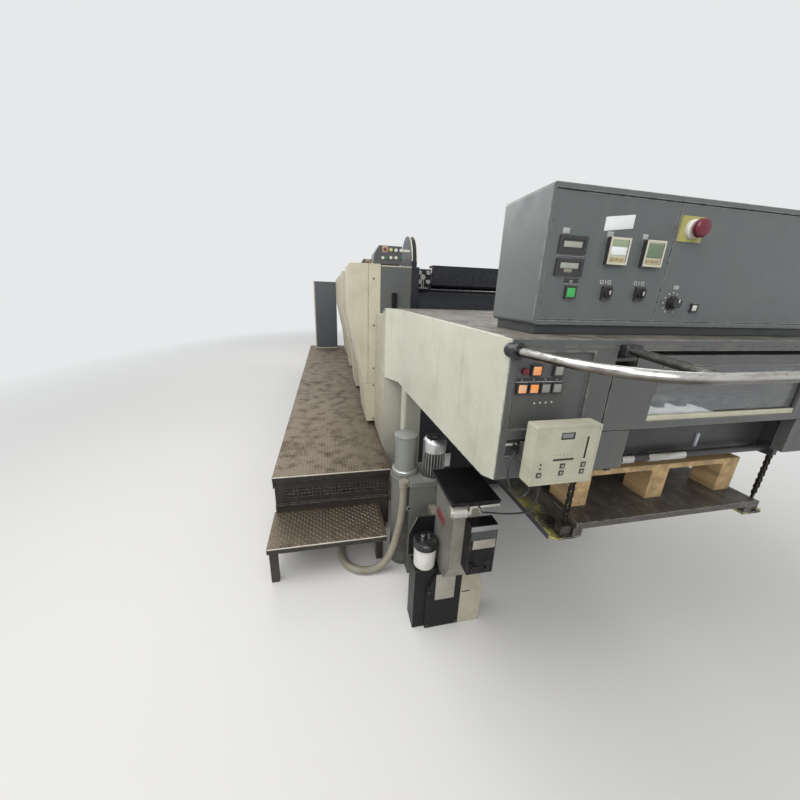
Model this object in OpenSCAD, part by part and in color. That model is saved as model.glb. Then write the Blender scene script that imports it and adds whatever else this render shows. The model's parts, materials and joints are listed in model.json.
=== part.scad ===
// Four-colour sheet-fed offset printing press with its delivery, walkway and feeder.
// Across the press is X, along it is Y from the delivery to the feeder, and the floor is Z = 0.

/* [Printing units] */
// Distance from one printing unit to the next
unit_pitch = 1106; // [1060:1:1180]
// Distance from the delivery's end face to the front of the nearest unit
unit_front = 1883; // [1830:1:1980]
// Height of the top of the side frames
unit_h = 1745; // [1700:1:1800]
// Depth of an operator cover along the press
cover_d = 480; // [420:1:540]
// Half width over the operator covers at their widest
cover_out = 1040; // [1010:1:1100]
// Distance of a cover's foot from the centre line
cover_foot = 905; // [890:1:930]
// Height of the foot of a cover
cover_foot_z = 498; // [490:1:540]
// Height where the foot of a cover starts to lean out
cover_low_z = 845; // [800:1:900]
// Height where the cover's side becomes upright
cover_knee_z = 1384; // [1340:1:1430]
// Width of the grey face between the cream cover and the side frame
face_w = 240; // [200:1:260]
// Width of the seams between panels
seam = 4; // [2:0.5:6]

/* [Side frames and cylinders] */
// Clear width between the side frames
inner_w = 1000; // [960:1:1030]
// Thickness of a side frame
frame_t = 60; // [50:1:64]
// Length of the high part of a side frame
frame_top_l = 640; // [600:1:700]
// Height of the low part of a side frame, which carries a footboard
frame_low_h = 980; // [920:1:1010]
// Fillet between the high and the low part of a side frame
frame_fillet = 90; // [40:1:120]
// Diameter of the plate and blanket cylinders
cyl_d = 232; // [200:1:236]
// Diameter of the cylinder and roller journals
journal_d = 50; // [30:1:60]
// Running gap between neighbouring cylinders and rollers
nip = 0.4; // [0.3:0.1:1]
// Diameter of an inking roller
roller_d = 66; // [56:1:70]

/* [Delivery] */
// Half width over the delivery's side panels
box_w = 766; // [750:1:790]
// Height of the delivery's top
box_h = 1455; // [1430:1:1500]
// Height of the side panels at the end face
box_side_h = 407; // [390:1:420]
// How far the lower edge of a side panel drops towards the press
box_drop = 49; // [0:1:60]
// Thickness of the delivery's panels
panel_t = 30; // [20:1:36]
// Length of the delivery's straight side panels
box_l = 1290; // [1200:1:1320]
// Length over which the side panels widen to the delivery's columns
box_taper = 141; // [100:1:170]
// Half width over the delivery's columns
column_out = 835; // [810:1:860]
// Diameter of the handrail
rail_d = 22; // [18:1:32]
// Depth of the handrail's centre under the delivery's top
rail_drop = 27; // [22:1:40]
// Distance of the handrail in front of the end face
rail_out = 295; // [260:1:340]
// Bend radius of the handrail
rail_r = 190; // [120:1:220]

/* [Delivery guard] */
// Width of the guard on the end face
guard_w = 896; // [860:1:900]
// Height of the guard
guard_tall = 217; // [200:1:230]
// Depth of the guard's upper edge under the delivery's top
guard_drop = 43; // [40:1:50]
// Half width of the window in the guard
window_w = 297; // [260:1:330]
// Thickness of the guard
guard_t = 24; // [16:1:30]
// Radius of the hinge pins of the guards
pin_r = 7; // [5:0.5:9]
// Radial play of a hinge pin
pin_play = 0.4; // [0.2:0.1:0.8]

/* [Pile hoist] */
// Height of the platform's upper face at rest
hoist_z = 836; // [800:1:880]
// Length of the platform along the press
hoist_l = 760; // [700:1:820]
// Half width of the platform
hoist_w = 404; // [390:1:410]
// Width of a carrying plate beside the platform
arm_w = 110; // [90:1:114]
// Height of the pallet
pallet_h = 144; // [124:1:150]
// Pitch of the roller chains
chain_pitch = 25.4; // [19.05:0.01:25.4]

/* [Control box] */
// Half width of the control box on the delivery
ctrl_w = 655; // [640:1:700]
// Depth of the control box
ctrl_d = 230; // [200:1:260]
// Height of the control box without its plinth
ctrl_h = 342; // [320:1:360]
// Height of the plinth under the control box
plinth_h = 26; // [20:1:40]
// Distance from the end face to the front of the control box
ctrl_y = 98; // [80:1:120]

/* [Walkway] */
// Height of the walkway
deck_z = 470; // [440:1:485]
// Distance of the outer edge of the walkway from the centre line
deck_out = 1563; // [1550:1:1620]
// Distance from the end face to the front edge of the walkway
deck_y = 1109; // [1109:1:1140]
// Height of the lower step
step_z = 230; // [210:1:250]
// Length of the lower step's tread
step_l = 325; // [300:1:340]
// Width of the lower step
step_w = 653; // [620:1:660]
// Thickness of the tread plates
plate_t = 6; // [4:1:8]
// Height of the turned down edge of a tread plate
lip_h = 34; // [30:1:50]

/* [Feeder] */
// Length of the feeder
feeder_l = 1843; // [1700:1:2000]
// Half width over the feeder's side covers
feeder_w = 700; // [680:1:740]
// Height of the feeder's side covers
feeder_h = 1180; // [1120:1:1240]
// Height of the feeder's cabinet over the floor
cabinet_top = 1713; // [1650:1:1750]
// Width of the feeder's cabinet
cabinet_w = 414; // [380:1:440]
// Distance of the drive side covers from the centre line
drive_out = 1000; // [960:1:1050]

/* [Hidden] */
$fn = 48;

UNITS = [1, 2, 3, 4];
hose_d = 44;
hose_route = [
    [-830, 765, 560], [-830, 765, 500], [-831, 765, 440], [-836, 764, 380], [-845, 763, 318],
    [-857, 762, 255], [-872, 761, 190], [-889, 760, 138], [-912, 760, 92], [-942, 760, 54],
    [-982, 760, 31], [-1030, 762, 24], [-1080, 776, 24], [-1122, 805, 24], [-1152, 846, 24],
    [-1164, 895, 24], [-1165, 960, 24], [-1165, 1050, 24], [-1165, 1140, 24], [-1165, 1230, 24],
    [-1164, 1320, 24], [-1154, 1384, 28], [-1132, 1440, 32], [-1098, 1488, 37], [-1054, 1520, 42],
    [-1004, 1534, 45], [-940, 1536, 45], [-869, 1536, 45]
];
cable_d = 6;
controller_route = [
    [-712, 20, 1165], [-712, 4, 1165], [-715, -10, 1165], [-724, -21, 1160], [-736, -27, 1149],
    [-746, -33, 1133], [-751, -41, 1115], [-752, -49, 1097], [-749, -57, 1079], [-741, -64, 1064],
    [-729, -68, 1055], [-716, -69, 1054], [-706, -69, 1061], [-701, -69, 1072], [-700, -69, 1085]
];
device_route = [
    [-672, -69, 1085], [-672, -69, 1070], [-671, -68, 1052], [-669, -65, 1034], [-665, -59, 1016],
    [-660, -50, 999], [-655, -38, 982], [-650, -23, 965], [-647, -6, 949], [-645, 12, 933],
    [-645, 31, 917], [-645, 50, 902], [-646, 69, 887], [-647, 88, 873], [-649, 107, 859],
    [-651, 126, 846], [-652, 145, 833], [-654, 164, 820], [-655, 183, 807], [-656, 202, 793],
    [-656, 216, 783], [-656, 226, 778], [-656, 236, 776]
];
cable_end = device_route[len(device_route) - 1];
step_y = deck_y - step_l;
step_right = -deck_out + step_w;
box_low_z = box_h - box_side_h;
column_y = box_l + box_taper;
pile_w = frame_x();
rail_z = box_h - rail_drop;
guard_top_z = box_h - guard_drop;
guard_low_z = guard_top_z - guard_tall;
cover_in = frame_x() + face_w;
press_end = unit_front + len(UNITS) * unit_pitch;
total_end = press_end + feeder_l;
// The handrail's bends are a little fuller than its straight tube
bend_swell = 0.2;
front_end = -rail_out - rail_d / 2 - bend_swell;
mid_x = (drive_out - deck_out) / 2;
mid_y = (total_end + front_end) / 2;

cream = [0.84, 0.80, 0.71];
grey = [0.34, 0.35, 0.35];
dark = [0.16, 0.17, 0.19];
steel = [0.62, 0.63, 0.64];
black = [0.06, 0.06, 0.07];
deck_brown = [0.30, 0.26, 0.21];
blue_grey = [0.37, 0.40, 0.41];
wood = [0.78, 0.65, 0.43];
pale = [0.74, 0.73, 0.64];

// Distance of a side frame's outer face from the centre line
function frame_x() = inner_w / 2 + frame_t;
// Front of printing unit k, where unit 4 stands at the delivery and unit 1 at the feeder
function unit_y(k) = unit_front + (4 - k) * unit_pitch;

module at_floor_centre() translate([-mid_x, -mid_y, 0]) children();
module at_unit(k) translate([0, unit_y(k), 0]) children();
module at_units() for (k = UNITS) at_unit(k) children();
// Block from one corner to the opposite one
module block(a, b) translate(a) cube(b - a);
// Block and its mirror image on the other side of the press
module both_sides() {
    children();
    mirror([1, 0, 0]) children();
}
// Block whose four long edges, which run along the press, are rounded
module soft_block(a, b, r) {
    block([a.x + r, a.y, a.z], [b.x - r, b.y, b.z]);
    block([a.x, a.y, a.z + r], [b.x, b.y, b.z - r]);
    for (x = [a.x + r, b.x - r], z = [a.z + r, b.z - r]) bar_y(a.y, b.y, x, z, r);
}
// Outline drawn in Y and Z, extruded across the press from x0 to x1
module across(x0, x1) translate([x0, 0, 0]) rotate([90, 0, 90]) linear_extrude(x1 - x0) children();
// Outline drawn in X and Z, extruded along the press from y0 to y1
module along(y0, y1) translate([0, y1, 0]) rotate([90, 0, 0]) linear_extrude(y1 - y0) children();
// Round bar across the press
module bar_x(x0, x1, y, z, r) translate([x0, y, z]) rotate([0, 90, 0]) cylinder(r = r, h = x1 - x0);
// Round bar along the press
module bar_y(y0, y1, x, z, r) translate([x, y1, z]) rotate([90, 0, 0]) cylinder(r = r, h = y1 - y0);

cover_lean = 29;
cover_cap = 10;
// The upright seam of a cover from its inner edge, and the level seam under its slope
upright_seam = 91;
seam_drop = 10;
module unit_cover(k) color(cream) at_floor_centre() at_unit(k) difference() {
    seam_x = -cover_in - upright_seam;
    seam_z = cover_low_z - seam_drop;
    along(0, cover_d) polygon([
        [-cover_in, cover_foot_z], [-cover_foot, cover_foot_z], [-cover_foot - cover_lean, cover_low_z],
        [-cover_out, cover_knee_z], [-cover_out, unit_h], [-cover_out + cover_cap, unit_h + cover_cap],
        [-cover_in, unit_h + cover_cap]
    ]);
    block([seam_x - seam, -1, seam_z], [seam_x, seam, unit_h + cover_cap + 1]);
    block([-cover_out - 1, -1, seam_z - seam], [-cover_in + 1, seam, seam_z]);
    block([-cover_out - 1, -1, seam_z - seam], [-cover_foot - cover_lean + 9, cover_d + 1, seam_z]);
}

face_set = 3;
module unit_faces() color(grey) at_floor_centre() at_units()
    block([-cover_in, face_set, cover_foot_z], [-frame_x(), cover_d - face_set, unit_h]);

handle_x = -cover_in + 89;
handle_z = 1416;
handle_h = 105;
handle_w = 40;
handle_out = 30;
handle_bar = 14;
module grab_handles() color(black) at_floor_centre() at_units() translate([handle_x, 0, handle_z])
    difference() {
        block([-handle_w / 2, -handle_out, 0], [handle_w / 2, face_set, handle_h]);
        block([-handle_w / 2 - 1, 10 - handle_out, handle_bar],
            [handle_w / 2 + 1, face_set + 1, handle_h - handle_bar]);
    }

plate_y = 300;
plate_z = 1330;
blanket_y = plate_y + 30;
blanket_z = plate_z - sqrt(pow(cyl_d + nip, 2) - pow(blanket_y - plate_y, 2));
guard_hinge_y = 112;
guard_hinge_z = 1552;
boss_r = pin_r + 12;
boss_l = 22;

module side_frame() {
    difference() {
        across(-frame_x(), -inner_w / 2) polygon([
            [0, 0], [unit_pitch, 0], [unit_pitch, frame_low_h], [frame_top_l + frame_fillet, frame_low_h],
            [frame_top_l, frame_low_h + frame_fillet], [frame_top_l, unit_h - 60],
            [frame_top_l - 60, unit_h], [0, unit_h]
        ]);
        translate([-frame_x() - 1, frame_top_l + frame_fillet, frame_low_h + frame_fillet])
            rotate([0, 90, 0]) cylinder(r = frame_fillet, h = frame_t + 2);
    }
    difference() {
        bar_x(-inner_w / 2, -inner_w / 2 + boss_l, guard_hinge_y, guard_hinge_z, boss_r);
        bar_x(-inner_w / 2 - 1, -inner_w / 2 + boss_l + 1, guard_hinge_y, guard_hinge_z, pin_r + pin_play);
    }
}
module frames_left() color(dark) at_floor_centre() at_units() side_frame();
module frames_right() color(dark) at_floor_centre() at_units() mirror([1, 0, 0]) side_frame();

body_l = inner_w - 40;
// Cylinder with journals between the side frames and a gap for its clamps
module cylinder_with_gap(y, z, gap_angle, gap_w, gap_h) {
    difference() {
        bar_x(-body_l / 2, body_l / 2, y, z, cyl_d / 2);
        translate([0, y, z]) rotate([gap_angle, 0, 0])
            translate([0, 0, cyl_d / 2]) cube([body_l - 60, gap_w, 2 * gap_h], center = true);
    }
    bar_x(-inner_w / 2, -body_l / 2, y, z, journal_d / 2);
    bar_x(body_l / 2, inner_w / 2, y, z, journal_d / 2);
}
module plate_cylinders() color(steel) at_floor_centre() at_units()
    cylinder_with_gap(plate_y, plate_z, 100, 46, 30);
impression_y = blanket_y - 80;
impression_z = blanket_z - sqrt(pow(cyl_d + nip, 2) - pow(blanket_y - impression_y, 2));
// Blanket cylinders with the impression cylinders under them
module blanket_cylinders() color(steel) at_floor_centre() at_units() {
    cylinder_with_gap(blanket_y, blanket_z, 60, 60, 36);
    cylinder_with_gap(impression_y, impression_z, 200, 60, 34);
}

// Angles of the dampening and form rollers round the plate cylinder, from upright towards the feeder
form_angles = [-108, -76, -38, -4, 30, 64];
form_r = (cyl_d + roller_d) / 2 + nip;
module roller(y, z, r) {
    bar_x(-body_l / 2, body_l / 2, y, z, r);
    bar_x(-inner_w / 2, -body_l / 2, y, z, r / 2);
    bar_x(body_l / 2, inner_w / 2, y, z, r / 2);
}
module ink_rollers() color(black) at_floor_centre() at_units() {
    for (a = form_angles) roller(plate_y + form_r * sin(a), plate_z + form_r * cos(a), roller_d / 2);
    for (i = [0:2]) roller(plate_y - 40 + i * 92, plate_z + form_r + 82, roller_d / 2 + 4);
    for (i = [0:1]) roller(plate_y + 18 + i * 96, plate_z + form_r + 146, roller_d / 2 - 6);
}

fountain_y = 470;
fountain_z = 1610;
module ink_fountains() color(steel) at_floor_centre() at_units() {
    difference() {
        across(-inner_w / 2, inner_w / 2) polygon([
            [fountain_y, fountain_z], [fountain_y + 120, fountain_z], [fountain_y + 150, fountain_z + 60],
            [fountain_y + 90, fountain_z + 150], [fountain_y, fountain_z + 40]
        ]);
        across(-inner_w / 2 + 30, inner_w / 2 - 30) polygon([
            [fountain_y + 10, fountain_z + 30], [fountain_y + 130, fountain_z + 60],
            [fountain_y + 90, fountain_z + 160], [fountain_y - 10, fountain_z + 160]
        ]);
    }
}

inker_low_z = guard_hinge_z + boss_r + 56;
inker_x = -355;
rib_pitch = 27;
// Setting levers, knobs and adjusting screws on the operator side of the inker
module inker_levers() {
    for (x = [-470, -398], z = [unit_h - 98, unit_h - 30]) {
        bar_y(118, 152, x, z, 9);
        bar_y(96, 122, x, z, 17);
    }
    bar_y(126, 152, -434, unit_h - 62, 22);
    for (x = [-446, -430]) block([x, 132, unit_h - 150], [x + 7, 152, unit_h - 60]);
    bar_x(-478, -384, 140, unit_h - 148, 7);
}
module inker_panels() color(dark) at_floor_centre() at_units() {
    difference() {
        block([inker_x, 120, inker_low_z], [inner_w / 2, 150, unit_h + 30]);
        for (x = [inker_x + 12:rib_pitch:inner_w / 2 - 20])
            block([x, 119, inker_low_z + 12], [x + rib_pitch / 2, 124, unit_h + 4]);
    }
    block([inker_x, 150, unit_h + 14], [inner_w / 2, 230, unit_h + 30]);
    block([-inner_w / 2, 150, guard_hinge_z + 30], [inker_x - seam, 170, unit_h]);
    inker_levers();
}

module footboards() color(deck_brown) at_floor_centre() at_units()
    block([-inner_w / 2, frame_top_l, frame_low_h - 40], [inner_w / 2, unit_pitch, frame_low_h]);

// Right end and front of the console that stands on a unit
console_x = -frame_x() - 80;
console_y = 12;
console_w = 212;
console_d = 148;
console_top = 128;
console_slope = [39, 62];
// Places of the buttons, from the right end of the console and from its underside
top_buttons = [[130, 103], [86, 101], [46, 100], [9, 100]];
low_buttons = [[145, 44], [116, 46], [84, 48], [46, 48], [12, 50]];
button_out = 8;
module consoles() color(grey) at_floor_centre() at_units()
    translate([console_x, console_y, unit_h + cover_cap]) {
        along(0, console_d) polygon([
            [-console_w, 0], [0, 0], [0, console_top], [-console_w + console_slope.x, console_top],
            [-console_w, console_top - console_slope.y]
        ]);
        for (b = top_buttons) bar_y(-button_out, 1, -b.x, b.y, 12);
        for (b = low_buttons) bar_y(-button_out, 1, -b.x, b.y, 11);
    }

hood_x = -frame_x() - 76;
hood_w = 104;
hood_r = 196;
// The hood's axis over the side frame and behind the front of the unit
hood_up = 44;
hood_y = hood_r + 20;
// The groove between the hood's two rims, which are left standing at its ends
hood_rims = [26, 14];
groove_d = 14;
module roller_hoods() color(grey) at_floor_centre() at_units() translate([hood_x, hood_y, unit_h])
    difference() {
        union() {
            bar_x(0, hood_w, 0, hood_up, hood_r);
            block([0, -hood_r, 0], [hood_w, hood_r, hood_up]);
        }
        block([-1, -hood_r - 1, -hood_r], [hood_w + 1, hood_r + 1, 0]);
        difference() {
            bar_x(hood_rims[0], hood_w - hood_rims[1], 0, hood_up, hood_r + 1);
            bar_x(hood_rims[0] - 1, hood_w - hood_rims[1] + 1, 0, hood_up, hood_r - groove_d);
            block([0, -hood_r - 1, -hood_r], [hood_w, hood_r + 1, hood_up]);
        }
    }

// Margin round a pair of doors, their lower edge and the recessed grip in each of them
door_margin = 30;
door_z = [330, unit_h - 150];
door_groove = 3;
grip = [30, 130];
grip_z = 820;
module drive_covers() color(cream) at_floor_centre() at_units() difference() {
    along(seam / 2, unit_pitch - seam / 2) polygon([
        [frame_x(), 120], [drive_out - 40, 120], [drive_out, door_z[0] - door_margin],
        [drive_out, door_z[1] + door_margin], [drive_out - 60, unit_h - 40], [frame_x(), unit_h - 40]
    ]);
    for (y = [door_margin, unit_pitch / 2, unit_pitch - door_margin - seam])
        block([drive_out - door_groove, y, door_z[0]], [drive_out + 1, y + seam, door_z[1]]);
    for (z = [door_z[0], door_z[1] - seam])
        block([drive_out - door_groove, door_margin, z], [drive_out + 1, unit_pitch - door_margin, z + seam]);
    for (y = [unit_pitch / 2 - 40 - grip.x, unit_pitch / 2 + 40])
        block([drive_out - 14, y, grip_z], [drive_out + 1, y + grip.x, grip_z + grip.y]);
}

guard_skin = 14;
guard_h = 400;
// Hinged guard in front of the plate cylinder, hanging from its pins
module plate_guard() {
    across(-body_l / 2 + 8, body_l / 2 - 8) polygon([
        [guard_hinge_y - 10, guard_hinge_z + 8], [guard_hinge_y + 10, guard_hinge_z + 8],
        [guard_hinge_y + 6, guard_hinge_z - 60], [guard_hinge_y - 26, guard_hinge_z - 150],
        [guard_hinge_y - 26, guard_hinge_z - guard_h + 40], [guard_hinge_y + 10, guard_hinge_z - guard_h],
        [guard_hinge_y, guard_hinge_z - guard_h - 10],
        [guard_hinge_y - 26 - guard_skin, guard_hinge_z - guard_h + 34],
        [guard_hinge_y - 26 - guard_skin, guard_hinge_z - 148], [guard_hinge_y - 12, guard_hinge_z - 56]
    ]);
    both_sides() bar_x(-inner_w / 2 + 2, -body_l / 2 + 10, guard_hinge_y, guard_hinge_z, pin_r);
}
module rear_guards() color(dark) at_floor_centre() for (k = [1, 2, 3]) at_unit(k) plate_guard();
module unit_4_guard() color(dark) at_floor_centre() at_unit(4) plate_guard();

corner_fold = 60;
corner_x = box_w - 21;
// Half width between the thin front edges of the side panels
front_in = corner_x - 6;
module panel_plan() polygon([
    [-corner_x, 0], [-box_w, corner_fold], [-box_w, box_l], [-column_out, column_y],
    [-column_out + panel_t, column_y], [-box_w + panel_t, box_l - 12], [-box_w + panel_t, corner_fold + 8],
    [-front_in, 40], [-front_in, 0]
]);
module side_panel() color(cream) {
    intersection() {
        translate([0, 0, box_low_z - box_drop - 1]) linear_extrude(box_side_h + box_drop + 1) panel_plan();
        across(-column_out - 1, -box_w + panel_t + 60) polygon([
            [-1, box_low_z], [1090, box_low_z - box_drop], [column_y + 1, box_low_z - box_drop],
            [column_y + 1, box_h], [-1, box_h]
        ]);
    }
    block([-box_w, 1090, 0], [-box_w + panel_t, 1180, box_low_z - box_drop]);
}
module side_panel_left() at_floor_centre() side_panel();
module side_panel_right() at_floor_centre() mirror([1, 0, 0]) side_panel();

top_t = 18;
module delivery_top() color(deck_brown) at_floor_centre() translate([0, 0, box_h - top_t])
    linear_extrude(top_t) polygon([
        [-front_in, 0], [-front_in, 40], [-box_w + panel_t, corner_fold + 8], [-box_w + panel_t, box_l - 12],
        [-column_out + panel_t, column_y], [-column_out, column_y], [-column_out, column_y + 70],
        [column_out, column_y + 70], [column_out, column_y], [column_out - panel_t, column_y],
        [box_w - panel_t, box_l - 12], [box_w - panel_t, corner_fold + 8], [front_in, 40], [front_in, 0]
    ]);

// Gap round the guard, which swings out
guard_gap = 5.5;
post_in = guard_w / 2 + guard_gap;
post_out = 520;
beam_z = box_h - top_t - 12;
front_low_z = box_low_z - 24;
hinge_z = guard_top_z - pin_r - 4;
module front_frame() color(grey) at_floor_centre() {
    block([-front_in, 0, beam_z], [front_in, 40, box_h - top_t]);
    both_sides() {
        difference() {
            block([-post_out, 0, guard_low_z - guard_gap], [-post_in, 40, beam_z]);
            bar_x(-post_out + 20, -post_in + 1, 14, hinge_z, pin_r + pin_play);
        }
        block([-post_out, 6, front_low_z], [-365, 40, guard_low_z - guard_gap]);
    }
}

recess_z = guard_low_z + 19;
recess_d = 8;
module end_panel() difference() {
    block([-front_in, 0, box_low_z], [-post_out, 26, beam_z]);
    block([-front_in + 4, -1, recess_z], [-post_out - 4, recess_d, beam_z - 4]);
}
module end_panels() color(grey) at_floor_centre() {
    difference() {
        end_panel();
        block([-front_in + 8, -1, box_low_z + 89], [-front_in + 54, 20, box_low_z + 138]);
    }
    mirror([1, 0, 0]) end_panel();
}

button = 30;
button_pitch = 33.8;
button_x = -front_in + 19.5;
button_z = box_h - 127;
module square_button(x, z) translate([x - button / 2, -2, z - button / 2])
    cube([button, recess_d + 2, button]);
module button_panel() color(pale) at_floor_centre() {
    for (i = [0:3]) square_button(button_x + i * button_pitch, button_z);
    square_button(button_x + button_pitch, button_z + 47);
    square_button(button_x + 2.9 * button_pitch, button_z + 46);
    bar_y(-3, recess_d, button_x + 3, button_z + 45, 9);
}

// Outer face of the plates that carry the gripper bars' tracks
track_x = pile_w + 40;
module track_plates() color(dark) at_floor_centre() {
    both_sides() block([-track_x, 60, box_low_z + 20], [-track_x + 24, column_y, box_h - top_t - 30]);
    for (y = [160, 640, 1200]) translate([0, y, box_low_z + 180]) {
        block([-track_x + 24, -16, -12], [track_x - 24, 16, 20]);
        for (i = [-5:5]) block([i * 96 - 17, -34, -20], [i * 96 + 17, 4, 6]);
    }
    both_sides() difference() {
        bar_x(-track_x + 24, -track_x + 36, 130, box_low_z + 262, 74);
        for (a = [0:60:300]) translate([0, 130, box_low_z + 262]) rotate([a, 0, 0])
            bar_x(-track_x + 23, -track_x + 37, 0, 46, 15);
    }
}

module guard() color(grey) at_floor_centre() {
    difference() {
        block([-guard_w / 2, 0, guard_low_z], [guard_w / 2, guard_t, guard_top_z]);
        block([-window_w, -1, guard_low_z + 33], [window_w, guard_t + 1, guard_top_z - 30]);
        both_sides() block([-guard_w / 2 - 1, -1, rail_z - 50], [-380, guard_t + 1, guard_top_z + 1]);
    }
    both_sides() bar_x(-guard_w / 2 - 40, -370, 14, hinge_z, pin_r);
}
module guard_window() color([0.7, 0.8, 0.85, 0.4]) at_floor_centre()
    block([-window_w, 8, guard_low_z + 33], [window_w, 14, guard_top_z - 30]);

rail_a = atan(34 / 145);
rail_turn = 90 - rail_a;
rail_corner_x = box_w - 5 - rail_out * tan(rail_a);
rail_tan = rail_r * tan(rail_turn / 2);
module tube(from, to, r) {
    d = to - from;
    l = norm(d);
    translate(from) rotate([0, acos(d.z / l), atan2(d.y, d.x)]) cylinder(r = r, h = l);
}
// The straight tube ends inside the bends
bend_lap = 2;
strut_x = [-426, -530];
module handrail() color([0.8, 0.8, 0.82]) at_floor_centre() translate([0, 0, rail_z]) {
    rail_half = rail_corner_x - rail_tan + bend_lap;
    bar_x(-rail_half, rail_half, -rail_out, 0, rail_d / 2);
    both_sides() {
        translate([-rail_corner_x + rail_tan, -rail_out + rail_r, 0]) rotate([0, 0, 270 - rail_turn])
            rotate_extrude(angle = rail_turn) translate([rail_r, 0]) circle(d = rail_d + 2 * bend_swell);
        tube([-box_w + 5 + 4 * sin(rail_a), -4 * cos(rail_a), 0],
            [-rail_corner_x - (rail_tan - bend_lap) * sin(rail_a),
             -rail_out + (rail_tan - bend_lap) * cos(rail_a), 0], rail_d / 2);
        tube([strut_x[0], -14, 0], [strut_x[1], -rail_out, 0], rail_d / 2 - bend_swell);
    }
}
module rail_fittings() color(black) at_floor_centre() both_sides() {
    difference() {
        translate([-box_w + 5, 0, rail_z]) rotate([90, 0, rail_a]) translate([0, 0, -58])
            cylinder(r = rail_d / 2 + 9, h = 100);
        translate([-box_w + 5, 0, rail_z]) rotate([90, 0, rail_a]) cylinder(r = rail_d / 2 + 0.2, h = 60);
        translate([0, 0, rail_z - 60]) linear_extrude(120) panel_plan();
        block([-box_w, corner_fold, rail_z - 60], [0, 2 * corner_fold, rail_z + 60]);
    }
    difference() {
        block([strut_x[0] - 26, -24, rail_z - 14], [strut_x[0] + 26, 0, rail_z + 15]);
        translate([0, 0, rail_z]) tube([strut_x[0], -14, 0], [strut_x[1], -rail_out, 0], rail_d / 2 + 0.2);
    }
}

ctrl_r = 12;
panel_rim = 14;
module control_box() color(blue_grey) at_floor_centre() {
    block([-ctrl_w + 15, ctrl_y + 12, box_h], [ctrl_w - 15, ctrl_y + ctrl_d - 10, box_h + plinth_h]);
    translate([0, 0, box_h + plinth_h]) difference() {
        soft_block([-ctrl_w, ctrl_y, 0], [ctrl_w, ctrl_y + ctrl_d, ctrl_h], ctrl_r);
        block([-ctrl_w + panel_rim, ctrl_y - 1, panel_rim],
            [ctrl_w - panel_rim, ctrl_y + 8, ctrl_h - panel_rim]);
    }
}
panel_y = ctrl_y + 4;
panel_seam = -254;
panel_z = box_h + plinth_h;
// Frame on the control panel with a sunk window
module bezel(x, z, w, h, d, rim) translate([x, panel_y - d, panel_z + z]) difference() {
    cube([w, d + 1, h]);
    block([rim, -1, rim], [w - rim, 2, h - rim]);
}
module selector(x, z) {
    block([x - 15, panel_y - 8, panel_z + z - 19], [x + 15, panel_y + 1, panel_z + z + 19]);
    bar_y(panel_y - 14, panel_y - 7, x, panel_z + z, 12);
    block([x - 3, panel_y - 24, panel_z + z - 12], [x + 3, panel_y - 13, panel_z + z + 12]);
}
module stop_button(x, z) {
    block([x - 42, panel_y - 4, panel_z + z - 32], [x + 38, panel_y + 1, panel_z + z + 32]);
    translate([x, panel_y, panel_z + z]) rotate([90, 0, 0]) rotate_extrude()
        polygon([[0, -1], [15, -1], [15, 22], [24, 24], [24, 32], [20, 37], [0, 40]]);
}
panel_edge = panel_rim + seam / 2;
module panel_sheet(x0, x1)
    block([x0, panel_y, panel_z + panel_edge], [x1, ctrl_y + 8, panel_z + ctrl_h - panel_edge]);
module control_panel() color(blue_grey) at_floor_centre() {
    panel_sheet(-ctrl_w + panel_edge, panel_seam - seam / 2);
    panel_sheet(panel_seam + seam / 2, ctrl_w - panel_edge);
    for (z = [129, 183]) bezel(-613, z, 83, 43, 6, 9);
    for (x = [-468, -352]) bezel(x, 162, 64, 67, 14, 6);
    bezel(-572, 71, 34, 34, 8, 4);
    bezel(-129, 44, 26, 26, 6, 4);
    selector(-440, 90);
    selector(-329, 91);
    bar_y(panel_y - 6, panel_y + 1, -203, panel_z + 69, 20);
    bar_y(panel_y - 22, panel_y - 5, -203, panel_z + 69, 15);
    stop_button(-203, 265);
}

ctl = [-721, -90, box_low_z + 49];
ctl_w = 183;
ctl_h = 162;
ctl_d = 42;
gland_x = [21, 49];
gland_l = 12;
module controller() color(pale) at_floor_centre() translate(ctl) {
    difference() {
        soft_block([0, 0, 0], [ctl_w, ctl_d, ctl_h], 4);
        block([5, -1, 5], [ctl_w - 5, 2, ctl_h - 5]);
        block([71, -1, 124], [110, 5, 143]);
        block([147, -1, 68], [153, 6, 129]);
        block([60, -1, 66], [119, 6, 72]);
    }
    for (k = [[26, 29], [90, 31], [90, 51], [151, 31], [151, 51]])
        block([k.x - 7, 0.5, k.y - 7], [k.x + 7, 3, k.y + 7]);
    for (z = [47, 59]) bar_y(0.5, 3, 27, z, 2.5);
    for (x = gland_x) translate([x, ctl_d / 2, -gland_l]) cylinder(r = 7, h = gland_l + 2);
    block([21, ctl_d, 33], [71, -ctl.y, 83]);
}

arm_y = 50;
arm_t = 8;
chain_x = 428;
chain_y = [arm_y + 25, arm_y + hoist_l - 25];
lift_z = hoist_z - 60;
arm_out = hoist_w + arm_w - 35;
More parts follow.
